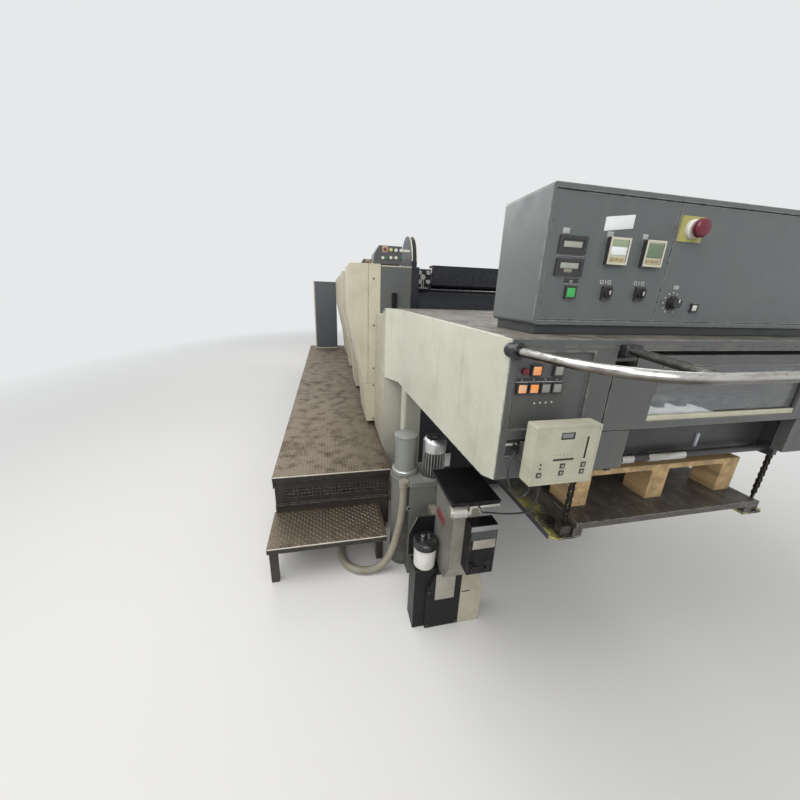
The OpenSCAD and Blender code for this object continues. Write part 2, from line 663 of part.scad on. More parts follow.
// Carrying plate with rounded corners, a turned down outer edge and a lug for each chain
module hoist_arms() color([0.72, 0.66, 0.22]) at_floor_centre() both_sides() {
    translate([0, 0, lift_z - arm_t]) linear_extrude(arm_t) difference() {
        translate([-arm_out, arm_y]) square([arm_w, hoist_l]);
        for (y = [arm_y, arm_y + hoist_l - 24]) translate([-arm_out, y]) square([24, 24]);
    }
    for (y = [arm_y + 24, arm_y + hoist_l - 24])
        translate([-arm_out + 24, y, lift_z - arm_t]) cylinder(r = 24, h = arm_t);
    block([-arm_out, arm_y + 24, lift_z - 50], [-arm_out + arm_t, arm_y + hoist_l - 24, lift_z - arm_t + 1]);
    for (y = chain_y) {
        block([-chain_x - 22, y - 16, lift_z - 1], [-chain_x + 20, y + 16, lift_z + 40]);
        bar_x(-chain_x - 28, -chain_x + 20, y, lift_z + 24, 9);
    }
}
module hoist_plate() color(deck_brown) at_floor_centre() {
    block([-hoist_w, arm_y - 8, hoist_z - 6], [hoist_w, arm_y + hoist_l, hoist_z]);
    for (y = [arm_y - 8, arm_y + hoist_l - 10])
        block([-hoist_w, y, hoist_z - 24], [hoist_w, y + 10, hoist_z - 5]);
    for (x = [-3:3])
        block([x * 120 - 4, arm_y, hoist_z - 24], [x * 120 + 4, arm_y + hoist_l - 4, hoist_z - 5]);
    both_sides() block([-hoist_w, arm_y, lift_z], [-hoist_w + 34, arm_y + hoist_l, hoist_z - 5]);
}
board_t = 22;
pallet_w = 760;
pallet_l = 560;
block_w = 78;
module pallet() color(wood) at_floor_centre() translate([0, 128, hoist_z]) {
    for (x = [-1:1], y = [0:2]) translate([x * (pallet_w - block_w) / 2, y * (pallet_l - 100) / 2, 0])
        block([-block_w / 2, 0, 0], [block_w / 2, 100, pallet_h - 2 * board_t]);
    for (x = [-1:1]) translate([x * (pallet_w - block_w) / 2, 0, 0])
        block([-block_w / 2, 0, pallet_h - 2 * board_t], [block_w / 2, pallet_l, pallet_h - board_t]);
    for (y = [0:4]) translate([0, y * (pallet_l - 96) / 4, 0])
        block([-pallet_w / 2, 0, pallet_h - board_t], [pallet_w / 2, 96, pallet_h]);
}
link_r = 10.5;
link_t = 3.2;
chain_roller_r = 7.9;
chain_in = 8;
// One flat link plate with round ends and a waist, from one pin up to the next
module link_plate(x, z) {
    bar_x(x, x + link_t, 0, z, link_r);
    bar_x(x, x + link_t, 0, z + chain_pitch, link_r);
    block([x, -link_r * 0.7, z], [x + link_t, link_r * 0.7, z + chain_pitch]);
}
// Roller chain hanging down from z1 in whole links, with an anchor plate at each end
module roller_chain(z0, z1) {
    n = 2 * floor((z1 - z0 - 50) / chain_pitch / 2);
    low = z1 - 25 - n * chain_pitch;
    for (i = [0:n]) {
        bar_x(-chain_in, chain_in, 0, low + i * chain_pitch, chain_roller_r);
        bar_x(-chain_in - 2 * link_t - 1.5, chain_in + 2 * link_t + 1.5, 0, low + i * chain_pitch, 4);
    }
    for (i = [0:2:n - 1]) {
        link_plate(chain_in, low + i * chain_pitch);
        link_plate(-chain_in - link_t, low + i * chain_pitch);
        link_plate(chain_in + link_t, low + (i + 1) * chain_pitch);
        link_plate(-chain_in - 2 * link_t, low + (i + 1) * chain_pitch);
    }
    block([-chain_in, -6, z1 - 33], [chain_in, 6, z1]);
    block([-chain_in, -6, z0], [chain_in, 6, low + 6]);
}
module hoist_chains() color(black) at_floor_centre() both_sides() for (y = chain_y)
    translate([-chain_x, y, 0]) roller_chain(lift_z + 40, box_h - top_t);

stop_z = box_low_z + 13;
module sheet_stop() color(steel) at_floor_centre() {
    bar_x(-365, 365, 60, stop_z, 12);
    both_sides() bar_x(-300, -120, 60, stop_z, 18);
    both_sides() block([-365, 30, stop_z - 20], [-345, 80, stop_z + 20]);
}

column_low_z = 1400;
hose_end = hose_route[len(hose_route) - 1];
module delivery_columns() color(cream) at_floor_centre() {
    both_sides() difference() {
        across(-column_out, -pile_w) polygon([
            [column_y, 0], [unit_front - 3, 0], [unit_front - 3, column_low_z], [column_y + 90, column_low_z],
            [column_y + 90, box_h - top_t], [column_y, box_h - top_t]
        ]);
        block([-column_out - 1, column_y - 1, box_low_z - box_drop - seam],
            [-pile_w + 1, column_y + seam, box_low_z - box_drop]);
        block([-column_out - 1, column_y - 1, box_low_z - box_drop - seam],
            [-column_out + seam, unit_front, box_low_z - box_drop]);
    }
    bar_x(hose_end.x, -column_out + 1, hose_end.y, hose_end.z, 30);
    bar_x(-column_out - 8, -column_out + 1, hose_end.y, hose_end.z, 42);
}
module delivery_bridge() color(dark) at_floor_centre() across(-pile_w, pile_w) polygon([
    [column_y, 60], [unit_front, 60], [unit_front, 1120], [unit_front - 200, 1200],
    [column_y + 130, column_low_z], [column_y + 90, box_h - top_t], [column_y, box_h - top_t]
]);

pump_z = 600;
// The pump stands beside the step, with room to pass a hand between them
pump_r = 76;
pump_room = 34;
can = [max(-box_w - 34, step_right + pump_room + pump_r), 868];
can_r = 61;
motor = can + [140, -71];
hose_start = hose_route[0];
module pump_housing() color(steel) at_floor_centre() {
    translate([can.x, can.y, 0]) cylinder(r = pump_r, h = pump_z);
    translate([can.x, can.y, pump_z - 26]) cylinder(r = pump_r + 8, h = 12);
    block([can.x, motor.y - 75, 0], [motor.x + 50, can.y + pump_r, pump_z]);
    block([can.x - 4, motor.y - 80, pump_z - 26], [motor.x + 56, can.y, pump_z - 14]);
    block([-box_w - 34, can.y, pump_z - 20], [-box_w + panel_t, 1090, pump_z]);
    translate(hose_start) cylinder(r = hose_d / 2 + 5, h = 34);
    block([hose_start.x, hose_start.y - 20, hose_start.z + 6], [can.x + 10, can.y - 60, pump_z - 14]);
}
module air_filter() color([0.58, 0.62, 0.60]) at_floor_centre() translate([can.x, can.y, pump_z])
    rotate_extrude() polygon([
        [0, 0], [74, 0], [74, 18], [68, 26], [can_r, 26], [can_r, 212], [can_r + 4, 215], [can_r + 4, 222],
        [can_r - 1, 225], [0, 225]
    ]);
fin_gap = 15;
// Finned motor with a fan cover that has air slots in its top
module blower_motor() color([0.62, 0.63, 0.64]) at_floor_centre() translate([motor.x, motor.y, pump_z]) {
    cylinder(r = 68, h = 14);
    cylinder(r = 53, h = 160);
    for (a = [0:fin_gap:360 - fin_gap]) rotate([0, 0, a]) translate([47, -1.5, 10]) cube([14, 3, 148]);
    difference() {
        rotate_extrude() polygon([[0, 154], [63, 154], [63, 206], [57, 218], [48, 226], [0, 228]]);
        for (a = [0:30:330]) rotate([0, 0, a]) translate([16, -4, 216]) cube([26, 8, 20]);
    }
    block([38, -30, 60], [84, 30, 140]);
}
tray_z = 800;
tray_t = 12;
stand_x = [-735, -622];
stand_y = [300, 506];
// Height of the two black boxes, which the stand and the pot are set down on
shelf_z = 345;
module device_stand() color(pale) at_floor_centre() {
    across(stand_x[0], stand_x[1]) polygon([
        [stand_y[0], shelf_z + 95], [stand_y[0] + 50, shelf_z], [stand_y[1], shelf_z],
        [stand_y[1], tray_z - tray_t], [stand_y[0], tray_z - tray_t]
    ]);
    block([-700, stand_y[1] - 1, 420], [-660, motor.y - 75, 460]);
    translate([stand_x[0], 0, shelf_z]) along(stand_y[1] - 1, stand_y[1] + 6) polygon([
        [-125, 5], [35, 5], [35, 215], [-85, 215], [-125, 125]
    ]);
}
module tray() color(black) at_floor_centre()
    block([-766, 256, tray_z - tray_t], [-562, 518, tray_z]);
pipe_y = 262;
// Air unit with its regulator, and the pipe and valve under the tray
module air_unit() color(dark) at_floor_centre() {
    difference() {
        block([-682, 240, 462], [-568, stand_y[0], 697]);
        block([-676, 239, 560], [-574, 242, 606]);
        block([-676, 239, 626], [-574, 242, 690]);
    }
    bar_y(224, 241, -655, 500, 14);
    for (z = [486, 516]) bar_y(234, 241, -596, z, 8);
    for (x = [-640, -605]) translate([x, 270, 450]) cylinder(r = 9, h = 13);
    bar_x(-766, -708, pipe_y, 762, 26);
    bar_x(-774, -765, pipe_y, 762, 20);
    block([-730, pipe_y, 744], [-712, stand_y[0], 780]);
    bar_x(-709, -686, pipe_y, 752, 8);
    translate([-686, pipe_y, 744]) cylinder(r = 8, h = 40);
    bar_x(-686, -566, pipe_y, 776, 8);
    bar_y(cable_end.y, pipe_y, cable_end.x, cable_end.z, 7);
}
pot = [stand_x[0] - 60, stand_y[1] - 60, shelf_z];
module powder_pot() color([0.85, 0.85, 0.82]) at_floor_centre() translate(pot) {
    rotate_extrude() polygon([
        [0, 0], [46, 0], [50, 4], [52, 96], [47, 104], [47, 110], [58, 110], [58, 136], [52, 143], [0, 143]
    ]);
    translate([-14, 0, 142]) cylinder(r = 9, h = 20);
    translate([18, 8, 142]) cylinder(r = 7, h = 14);
}
// Black box with a cut corner and a shelf behind it, and the small cream box beside it
box_y = 386;
module black_box() color(black) at_floor_centre() {
    along(box_y, box_y + 14) polygon([
        [-790, 0], [stand_x[1], 0], [stand_x[1], shelf_z], [-738, shelf_z], [-790, 240]
    ]);
    block([-738, box_y + 13, 0], [stand_x[1], box_y + 104, shelf_z]);
    block([-850, box_y + 14, 0], [-737, box_y + 113, shelf_z]);
    across(stand_x[1] - 0.5, -510) polygon([
        [box_y - 1, 0], [box_y + 114, 0], [box_y + 114, 290], [box_y + 80, 290], [box_y - 1, 196]
    ]);
}

function unit(v) = v / norm(v);
function headings(p) = [for (i = [0:len(p) - 1]) unit(p[min(i + 1, len(p) - 1)] - p[max(i - 1, 0)])];
function carried(t, first) = [
    for (i = 0, u = unit(first - (first * t[0]) * t[0]); i < len(t);
        i = i + 1, u = i < len(t) ? unit(u - (u * t[i]) * t[i]) : u) u
];
// Round tube along a route: one ring of points for each point of the route
module cord(p, d, sides) {
    t = headings(p);
    u = carried(t, [0.3, 0.8, 0.2]);
    n = len(p);
    polyhedron(
        points = [for (i = [0:n - 1], j = [0:sides - 1])
            p[i] + d / 2 * (cos(360 * j / sides) * u[i] + sin(360 * j / sides) * cross(t[i], u[i]))],
        faces = concat(
            [[for (j = [0:sides - 1]) j]], [[for (j = [sides - 1:-1:0]) (n - 1) * sides + j]],
            [for (i = [0:n - 2], j = [0:sides - 1], side = [0, 1])
                let (a = i * sides + j, b = i * sides + (j + 1) % sides)
                side == 0 ? [a, a + sides, b + sides] : [a, b + sides, b]]
        ));
}
module hose() color(pale) at_floor_centre() cord(hose_route, hose_d, 12);
module controller_cable() color(black) at_floor_centre() cord(controller_route, cable_d, 8);
module device_cable() color(black) at_floor_centre() cord(device_route, cable_d, 8);

deck_end = press_end - 50;
deck_inner = column_out;
module walkway() color(deck_brown) at_floor_centre() {
    block([-deck_out, deck_y, deck_z - plate_t], [-deck_inner, unit_front - 2, deck_z]);
    block([-deck_out, unit_front - 2, deck_z - plate_t], [-frame_x() - 5, deck_end, deck_z]);
    block([-deck_out, deck_y, deck_z - lip_h], [-deck_inner, deck_y + plate_t, deck_z - plate_t]);
    block([-deck_out, deck_y + plate_t, deck_z - 80], [-deck_out + plate_t, deck_end, deck_z - plate_t]);
}
// Back of the riser, behind the front edge of the walkway
riser_back = 20;
leg_pitch = 1180;
module walkway_legs() color(dark) at_floor_centre() for (y = [deck_y + riser_back:leg_pitch:deck_end - 60]) {
    block([-deck_out + plate_t, y, 0], [-deck_out + 46, y + 40, deck_z - plate_t]);
    block([-deck_inner - 60, y, 0], [-deck_inner - 20, y + 40, deck_z - plate_t]);
    block([-deck_out + 46, y, deck_z - plate_t - 40], [-deck_inner - 60, y + 40, deck_z - plate_t]);
}
module step() color(deck_brown) at_floor_centre() {
    block([-deck_out, step_y, step_z - plate_t], [step_right, step_y + step_l, step_z]);
    block([-deck_out, step_y, step_z - lip_h], [step_right, step_y + plate_t, step_z - plate_t]);
    for (leg = [
        [-deck_out + 10, step_y + plate_t], [-deck_out + 10, step_y + step_l - 40],
        [step_right - 50, step_y + 75], [step_right - 50, step_y + step_l - 40]
    ]) translate([leg.x, leg.y, 0]) cube([40, 40, step_z - plate_t]);
}
mesh_pitch = 23;
mesh_hole = 17;
mesh_z = 318;
ledge_z = 277;
// Upright front of the walkway: a sunk band with square holes over a ledge and a plain band
riser_x = [-deck_out + 8, -deck_inner - 8];
module riser() color(dark) at_floor_centre() translate([0, deck_y, 0]) {
    difference() {
        block([riser_x[0], 12, ledge_z], [riser_x[1], riser_back, deck_z - plate_t]);
        for (x = [riser_x[0] + 68:mesh_pitch:riser_x[1] - 52], i = [0:2])
            block([x, 11, mesh_z + i * mesh_pitch],
                [x + mesh_hole, riser_back + 1, mesh_z + i * mesh_pitch + mesh_hole]);
    }
    block([riser_x[0], -8, ledge_z - plate_t], [riser_x[1], riser_back, ledge_z]);
    block([riser_x[0], 0, 60], [riser_x[1], 8, ledge_z - plate_t]);
}

side_t = 80;
side_in = feeder_w - side_t;
post_w = 100;
post_l = 120;
post_y = total_end - post_l;
feeder_top = 1700;
pile_front = press_end + 760;
module feeder_sides() color(cream) at_floor_centre() {
    both_sides() across(-feeder_w, -side_in) polygon([
        [press_end, 0], [post_y, 0], [post_y, feeder_h - 40], [post_y - 40, feeder_h],
        [press_end + 60, feeder_h], [press_end, feeder_h - 60]
    ]);
    block([-side_in, press_end, 300], [side_in, press_end + 40, frame_low_h]);
    both_sides() translate([-side_in, post_y, 0]) cube([post_w, post_l, feeder_top]);
    beam_w = side_in - post_w;
    block([-beam_w, total_end - 100, feeder_top - 100], [beam_w, total_end - 20, feeder_top]);
}
table_l = 720;
table_rise = 80;
// Sloping table with five belts and a round bar at its upper end
module feed_table() color(steel) at_floor_centre() translate([0, press_end, frame_low_h]) {
    across(-side_in, side_in) polygon([
        [1, 60], [table_l, 60 + table_rise], [table_l, 90 + table_rise], [1, 90]
    ]);
    for (x = [-400:200:400]) across(x - 22, x + 22)
        polygon([[20, 92], [table_l - 20, 87 + table_rise], [table_l - 20, 92 + table_rise], [20, 97]]);
    bar_x(-side_in, side_in, table_l + 15, 78 + table_rise, 22);
}
head_y = press_end + 900;
head_w = 300;
head_l = 400;
sucker_pitch = 120;
// Suction head on a beam between the side covers, with two rows of four suckers
module suction_head() color(dark) at_floor_centre() translate([0, head_y, feeder_h]) {
    block([-head_w, 0, 60], [head_w, head_l, 240]);
    block([-head_w + 40, 40, 240], [head_w - 40, head_l - 70, 300]);
    both_sides() {
        block([-side_in, 160, 120], [-head_w, 220, 180]);
        block([-side_in, 140, -60], [-side_in + 40, 240, 180]);
    }
    for (i = [-1.5:1.5], y = [30, head_l - 70]) translate([i * sucker_pitch, y, 0]) {
        translate([0, 0, -12]) cylinder(r = 9, h = 80);
        translate([0, 0, -22]) cylinder(r = 20, h = 12);
    }
}
module feeder_plate() color(deck_brown) at_floor_centre()
    block([-side_in, pile_front, 0], [side_in, post_y, 140]);
cabinet_x = -deck_out + 119;
cabinet_y = press_end - 427;
cabinet_l = 320;
cabinet_rim = 22;
module feeder_cabinet() color(grey) at_floor_centre() translate([cabinet_x, cabinet_y, deck_z])
    difference() {
        cube([cabinet_w, cabinet_l, cabinet_top - deck_z]);
        block([cabinet_rim, -1, cabinet_rim], [cabinet_w - 4, 4, cabinet_top - deck_z - 4]);
    }

unit_cover(1);  // unit_1_cover
unit_cover(2);  // unit_2_cover
unit_cover(3);  // unit_3_cover
unit_cover(4);  // unit_4_cover
unit_faces();
grab_handles();
frames_left();
frames_right();
plate_cylinders();
blanket_cylinders();
ink_rollers();
ink_fountains();
inker_panels();
footboards();
consoles();
roller_hoods();
drive_covers();
rear_guards();
unit_4_guard();
side_panel_left();
side_panel_right();
delivery_top();
front_frame();
end_panels();
button_panel();
track_plates();
guard();
guard_window();
handrail();
rail_fittings();
control_box();
control_panel();
controller();
hoist_arms();
hoist_plate();
pallet();
hoist_chains();
sheet_stop();
delivery_columns();
delivery_bridge();
pump_housing();
air_filter();
blower_motor();
device_stand();
tray();
air_unit();
powder_pot();
black_box();
hose();
controller_cable();
device_cable();
walkway();
walkway_legs();
step();
riser();
feeder_sides();
feed_table();
suction_head();
feeder_plate();
feeder_cabinet();
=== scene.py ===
"""Offset printing press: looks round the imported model. Metres, row frame, +Z up."""
import bmesh
import bpy
import json
import math
import numpy as np
from mathutils import Matrix, Vector


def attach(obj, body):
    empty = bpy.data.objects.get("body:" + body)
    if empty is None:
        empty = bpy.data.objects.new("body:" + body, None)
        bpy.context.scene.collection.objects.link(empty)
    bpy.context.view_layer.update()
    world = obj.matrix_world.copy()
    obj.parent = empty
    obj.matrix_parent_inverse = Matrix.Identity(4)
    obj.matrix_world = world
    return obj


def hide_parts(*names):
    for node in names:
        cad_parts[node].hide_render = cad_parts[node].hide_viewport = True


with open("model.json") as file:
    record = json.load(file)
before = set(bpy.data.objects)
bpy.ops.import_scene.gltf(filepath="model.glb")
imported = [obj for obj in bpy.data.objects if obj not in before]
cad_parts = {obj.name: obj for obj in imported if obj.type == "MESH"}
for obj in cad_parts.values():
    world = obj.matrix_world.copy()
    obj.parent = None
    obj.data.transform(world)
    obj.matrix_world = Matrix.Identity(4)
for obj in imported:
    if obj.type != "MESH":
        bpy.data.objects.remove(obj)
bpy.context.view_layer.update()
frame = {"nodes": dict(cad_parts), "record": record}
nodes = frame["nodes"]

# Camera
# The picture was taken with a very wide lens at the corner of the delivery, from 1.55 m high.
# It looks along the press, 13 degrees to the drive side and 18 degrees down.
PRESS_MID = np.array([-281.5, 3921.9, 0.0])


def at(*p):
    """Points of the row frame for millimetres from the centre line, the end face and the floor."""
    return (np.asarray(p, float).reshape(-1, 3) - PRESS_MID) / 1000.0


yaw, pitch, roll = (math.radians(a) for a in (12.64, 18.12, 2.05))
ahead = Vector((math.sin(yaw), math.cos(yaw), 0))
up = Vector((0, 0, 1))
look = ahead * math.cos(pitch) - up * math.sin(pitch)
over = up * math.cos(pitch) + ahead * math.sin(pitch)
side = Vector((math.cos(yaw), -math.sin(yaw), 0))
right = side * math.cos(roll) + over * math.sin(roll)
over = over * math.cos(roll) - side * math.sin(roll)
camera = bpy.data.objects.new("camera", bpy.data.cameras.new("camera"))
camera.data.sensor_width = 36
camera.data.lens = 14.645
camera.data.clip_end = 200
turn = Matrix((right, over, -look)).transposed().to_4x4()
camera.matrix_world = Matrix.Translation(at(-1200, -717, 1550)[0]) @ turn
bpy.context.collection.objects.link(camera)
bpy.context.scene.camera = camera

# Suction hose
# A ribbed, dusty plastic hose hangs from the pump's outlet to the floor. It turns under the step
# and runs below the walkway to its socket on the delivery's column. Diameter 44 mm.
HOSE_ROUTE = at(
    (-830, 765, 560), (-830, 765, 500), (-831, 765, 440), (-836, 764, 380), (-845, 763, 318),
    (-857, 762, 255), (-872, 761, 190), (-889, 760, 138), (-912, 760, 92), (-942, 760, 54),
    (-982, 760, 31), (-1030, 762, 24), (-1080, 776, 24), (-1122, 805, 24), (-1152, 846, 24),
    (-1164, 895, 24), (-1165, 960, 24), (-1165, 1050, 24), (-1165, 1140, 24), (-1165, 1230, 24),
    (-1164, 1320, 24), (-1154, 1384, 28), (-1132, 1440, 32), (-1098, 1488, 37), (-1054, 1520, 42),
    (-1004, 1534, 45), (-940, 1536, 45), (-869, 1536, 45),
)
bodies = frame["record"]["behaviour"]["bodies"]
body_of_node = {node: body for body, held in bodies.items() for node in held}


class Finish:
    """One material, built node by node on Object coordinates in metres."""

    def __init__(self, name, rough=0.5, metal=0.0, **sockets):
        self.mat = bpy.data.materials.new(name)
        self.mat.use_nodes = True
        self.tree = self.mat.node_tree
        self.out = self.tree.nodes["Principled BSDF"]
        self.out.inputs["Roughness"].default_value = rough
        self.out.inputs["Metallic"].default_value = metal
        for key, value in sockets.items():
            self.out.inputs[key.replace("_", " ")].default_value = value
        self.coord = self.node("ShaderNodeTexCoord").outputs["Object"]

    def node(self, kind, **values):
        n = self.tree.nodes.new(kind)
        for key, value in values.items():
            setattr(n, key, value)
        return n

    def put(self, socket, value):
        if hasattr(value, "is_output"):
            self.tree.links.new(value, socket)
        elif isinstance(value, (tuple, list)) and len(value) == 3 and socket.type == "RGBA":
            socket.default_value = (*value, 1)
        else:
            socket.default_value = value

    def where(self, stretch):
        m = self.node("ShaderNodeMapping")
        self.put(m.inputs["Vector"], self.coord)
        m.inputs["Scale"].default_value = stretch
        return m.outputs[0]

    def noise(self, scale, detail=4.0, stretch=(1, 1, 1), rough=0.55):
        n = self.node("ShaderNodeTexNoise")
        self.put(n.inputs["Vector"], self.where(stretch))
        n.inputs["Scale"].default_value = scale
        n.inputs["Detail"].default_value = detail
        n.inputs["Roughness"].default_value = rough
        return n.outputs["Fac"]

    def ramp(self, value, low, high, a=0.0, b=1.0):
        n = self.node("ShaderNodeMapRange")
        for socket, v in zip(n.inputs, (value, low, high, a, b)):
            self.put(socket, v)
        return n.outputs[0]

    def sum(self, kind, a, b):
        n = self.node("ShaderNodeMath", operation=kind, use_clamp=True)
        self.put(n.inputs[0], a)
        self.put(n.inputs[1], b)
        return n.outputs[0]

    def axis(self, index):
        """X, Y or Z of the point, in metres of the row frame."""
        n = self.node("ShaderNodeSeparateXYZ")
        self.put(n.inputs[0], self.coord)
        return n.outputs[index]

    def mix(self, amount, a, b):
        n = self.node("ShaderNodeMix", data_type="RGBA")
        self.put(n.inputs["Factor"], amount)
        self.put(n.inputs[6], a)
        self.put(n.inputs[7], b)
        return n.outputs[2]

    def edges(self, radius):
        """How far the normal is turned by a bevel of this radius: 0 on flats, more on edges."""
        b = self.node("ShaderNodeBevel", samples=3)
        b.inputs["Radius"].default_value = radius
        g = self.node("ShaderNodeNewGeometry")
        d = self.node("ShaderNodeVectorMath", operation="DOT_PRODUCT")
        self.put(d.inputs[0], b.outputs[0])
        self.put(d.inputs[1], g.outputs["Normal"])
        return self.sum("SUBTRACT", 1.0, d.outputs["Value"])

    def spread(self, under, over, scale, detail, low, high, amount=1.0, **grain):
        """The colour over lies on the colour under wherever a noise rises from low to high."""
        return self.mix(self.ramp(self.noise(scale, detail, **grain), low, high, 0, amount), under, over)

    def rub(self, colour, bare, wear):
        """Bare colour on the edges, in the patches of a noise."""
        patches = self.ramp(self.noise(45, 6), 0.42, 0.6, 0, wear)
        return self.mix(self.sum("MULTIPLY", self.edges(0.004), patches), colour, bare)

    def bump(self, height, depth, strength=1.0):
        n = self.node("ShaderNodeBump")
        n.inputs["Strength"].default_value = strength
        n.inputs["Distance"].default_value = depth
        self.put(n.inputs["Height"], height)
        self.put(self.out.inputs["Normal"], n.outputs[0])

    def done(self, colour=None, rough=None):
        if colour is not None:
            self.put(self.out.inputs["Base Color"], colour)
        if rough is not None:
            self.put(self.out.inputs["Roughness"], rough)
        return self.mat


def plastic(name, base, rough=0.45, dirt=(0.05, 0.045, 0.04), grime=0.4, specks=0.0, **sockets):
    """Moulded plastic or rubber: handling marks in clouds, dust specks and a fine grain."""
    f = Finish(name, rough, **sockets)
    marked = tuple(0.4 * c + 0.6 * d for c, d in zip(base, dirt))
    colour = f.spread(base, marked, 12, 6, 0.45, 0.78, grime, rough=0.7)
    if specks:
        colour = f.spread(colour, dirt, 240, 4, 0.62, 0.72, specks)
    f.bump(f.noise(1400, 2), 0.0001, 0.3)
    return f.done(colour, f.ramp(f.noise(30, 3), 0.3, 0.8, rough - 0.06, rough + 0.12))


def smooth(route, step):
    """Catmull-Rom curve through a route, at points a fixed step apart along it."""
    p = np.vstack([2 * route[0] - route[1], route, 2 * route[-1] - route[-2]])
    a, b, c, d = p[:-3], p[1:-2], p[2:-1], p[3:]
    t = np.linspace(0, 1, 12, endpoint=False)[:, None, None]
    curve = b + (c - a) * t / 2 + (2 * a - 5 * b + 4 * c - d) * t**2 / 2 + (3 * b - a - 3 * c + d) * t**3 / 2
    curve = np.vstack([curve.transpose(1, 0, 2).reshape(-1, 3), route[-1:]])
    run = np.concatenate([[0], np.cumsum(np.linalg.norm(np.diff(curve, axis=0), axis=1))])
    s = np.linspace(0, run[-1], int(run[-1] / step) + 1)
    return np.stack([np.interp(s, run, curve[:, k]) for k in range(3)], axis=1), s


def net(rows, cols, wrap=False):
    """Quads between the points of a grid; wrap closes each row onto itself."""
    r, c = np.meshgrid(np.arange(rows - 1), np.arange(cols if wrap else cols - 1), indexing="ij")
    a, b = r * cols + c, r * cols + (c + 1) % cols
    return np.stack([a, b, b + cols, a + cols], axis=-1).reshape(-1, 4)


def swept(path, radius, sides=16, reference=(0.5, -0.6, 0.6)):
    """Tube: circles square to a path, centre + radius (cos a u + sin a v), with both ends closed."""
    t = np.gradient(path, axis=0)
    t /= np.linalg.norm(t, axis=1, keepdims=True)
    u = np.cross(t, reference)
    u /= np.linalg.norm(u, axis=1, keepdims=True)
    v = np.cross(t, u)
    r = np.concatenate([[0], np.broadcast_to(radius, len(path)), [0]])[:, None, None]
    rows = np.r_[0, np.arange(len(path)), len(path) - 1]
    a = np.linspace(0, 2 * np.pi, sides, endpoint=False)[None, :, None]
    points = path[rows][:, None] + r * (np.cos(a) * u[rows][:, None] + np.sin(a) * v[rows][:, None])
    return points.reshape(-1, 3), net(len(rows), sides, True)


def piece(name, parts, finishes, body="root", bevel=None, crease=35):
    """One mesh from several (points, faces) pairs, or (points, faces, number of its finish)."""
    mesh = bpy.data.meshes.new(name)
    start, points, faces, kind = 0, [], [], []
    for part in parts:
        points.append(part[0])
        faces += [[start + corner for corner in face] for face in np.asarray(part[1], dtype=object).tolist()]
        kind.append(np.full(len(part[1]), part[2] if len(part) > 2 else 0))
        start += len(part[0])
    mesh.from_pydata(np.vstack(points).tolist(), [], faces)
    mesh.polygons.foreach_set("material_index", np.concatenate(kind).astype(np.int32))
    bm = bmesh.new()
    bm.from_mesh(mesh)
    bmesh.ops.remove_doubles(bm, verts=bm.verts, dist=1e-5)
    bmesh.ops.recalc_face_normals(bm, faces=bm.faces)
    bm.to_mesh(mesh)
    bm.free()
    return finish_mesh(name, mesh, finishes, body, bevel, crease)


def finish_mesh(name, mesh, finishes, body, bevel, crease):
    """Sets creases and finishes, and puts the mesh on its body."""
    for material in finishes:
        mesh.materials.append(material)
    mesh.polygons.foreach_set("use_smooth", np.ones(len(mesh.polygons), bool))
    mesh.set_sharp_from_angle(angle=math.radians(crease))
    made = bpy.data.objects.new(name, mesh)
    bpy.context.collection.objects.link(made)
    if bevel:
        m = made.modifiers.new("bevel", "BEVEL")
        m.width, m.segments, m.limit_method = bevel, 2, "ANGLE"
        m.angle_limit = math.radians(crease)
        m.harden_normals = True
    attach(made, body)
    return made


path, run = smooth(HOSE_ROUTE, 0.0018)
ribs = 0.0212 + 0.0008 * np.cos(2 * np.pi * run / 0.009)
ribbed = plastic("ribbed hose", (0.27, 0.25, 0.19), 0.5, dirt=(0.06, 0.05, 0.036), grime=0.8, specks=0.6)
hose = piece("suction_hose", [swept(path, ribs, 20)], [ribbed])
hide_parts("hose")

# Controller's cables
# Two thin black cables. One loops out of a hole in the end panel into the small controller, and
# the other hangs from the controller down to the pipe under the tray. Diameter 6 mm.
CONTROLLER_ROUTE = at(
    (-712, 20, 1165), (-712, 4, 1165), (-715, -10, 1165), (-724, -21, 1160), (-736, -27, 1149),
    (-746, -33, 1133), (-751, -41, 1115), (-752, -49, 1097), (-749, -57, 1079), (-741, -64, 1064),
    (-729, -68, 1055), (-716, -69, 1054), (-706, -69, 1061), (-701, -69, 1072), (-700, -69, 1085),
)
DEVICE_ROUTE = at(
    (-672, -69, 1085), (-672, -69, 1070), (-671, -68, 1052), (-669, -65, 1034), (-665, -59, 1016),
    (-660, -50, 999), (-655, -38, 982), (-650, -23, 965), (-647, -6, 949), (-645, 12, 933),
    (-645, 31, 917), (-645, 50, 902), (-646, 69, 887), (-647, 88, 873), (-649, 107, 859),
    (-651, 126, 846), (-652, 145, 833), (-654, 164, 820), (-655, 183, 807), (-656, 202, 793),
    (-656, 216, 783), (-656, 226, 778), (-656, 236, 776),
)
sheath = plastic("cable sheath", (0.009, 0.009, 0.01), 0.34, dirt=(0.04, 0.036, 0.03), grime=0.3)
for name, route, reference in (
    ("controller_cable", CONTROLLER_ROUTE, (0.9, 0.3, 0.3)),
    ("device_cable", DEVICE_ROUTE, (1.0, 0.1, 0.1)),
):
    path, run = smooth(route, 0.003)
    cable = piece(f"{name}_sheath", [swept(path, 0.003, 10, reference)], [sheath])
    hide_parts(name)

# Operator covers
# Folded sheet steel in grimy cream enamel, one on each printing unit. A narrow seam parts the
# front plate from its rim, and dark socket screws hold it to the side frame.
UNIT_FRONTS = (1883, 2989, 4095, 5201)
UNIT_PITCH = 1106
CREAM = (0.53, 0.485, 0.365)
COVER_SCREWS = ((-853, 1649), (-850, 1305), (-850, 961), (-824, 948), (-849, 816), (-822, 796), (-846, 520))


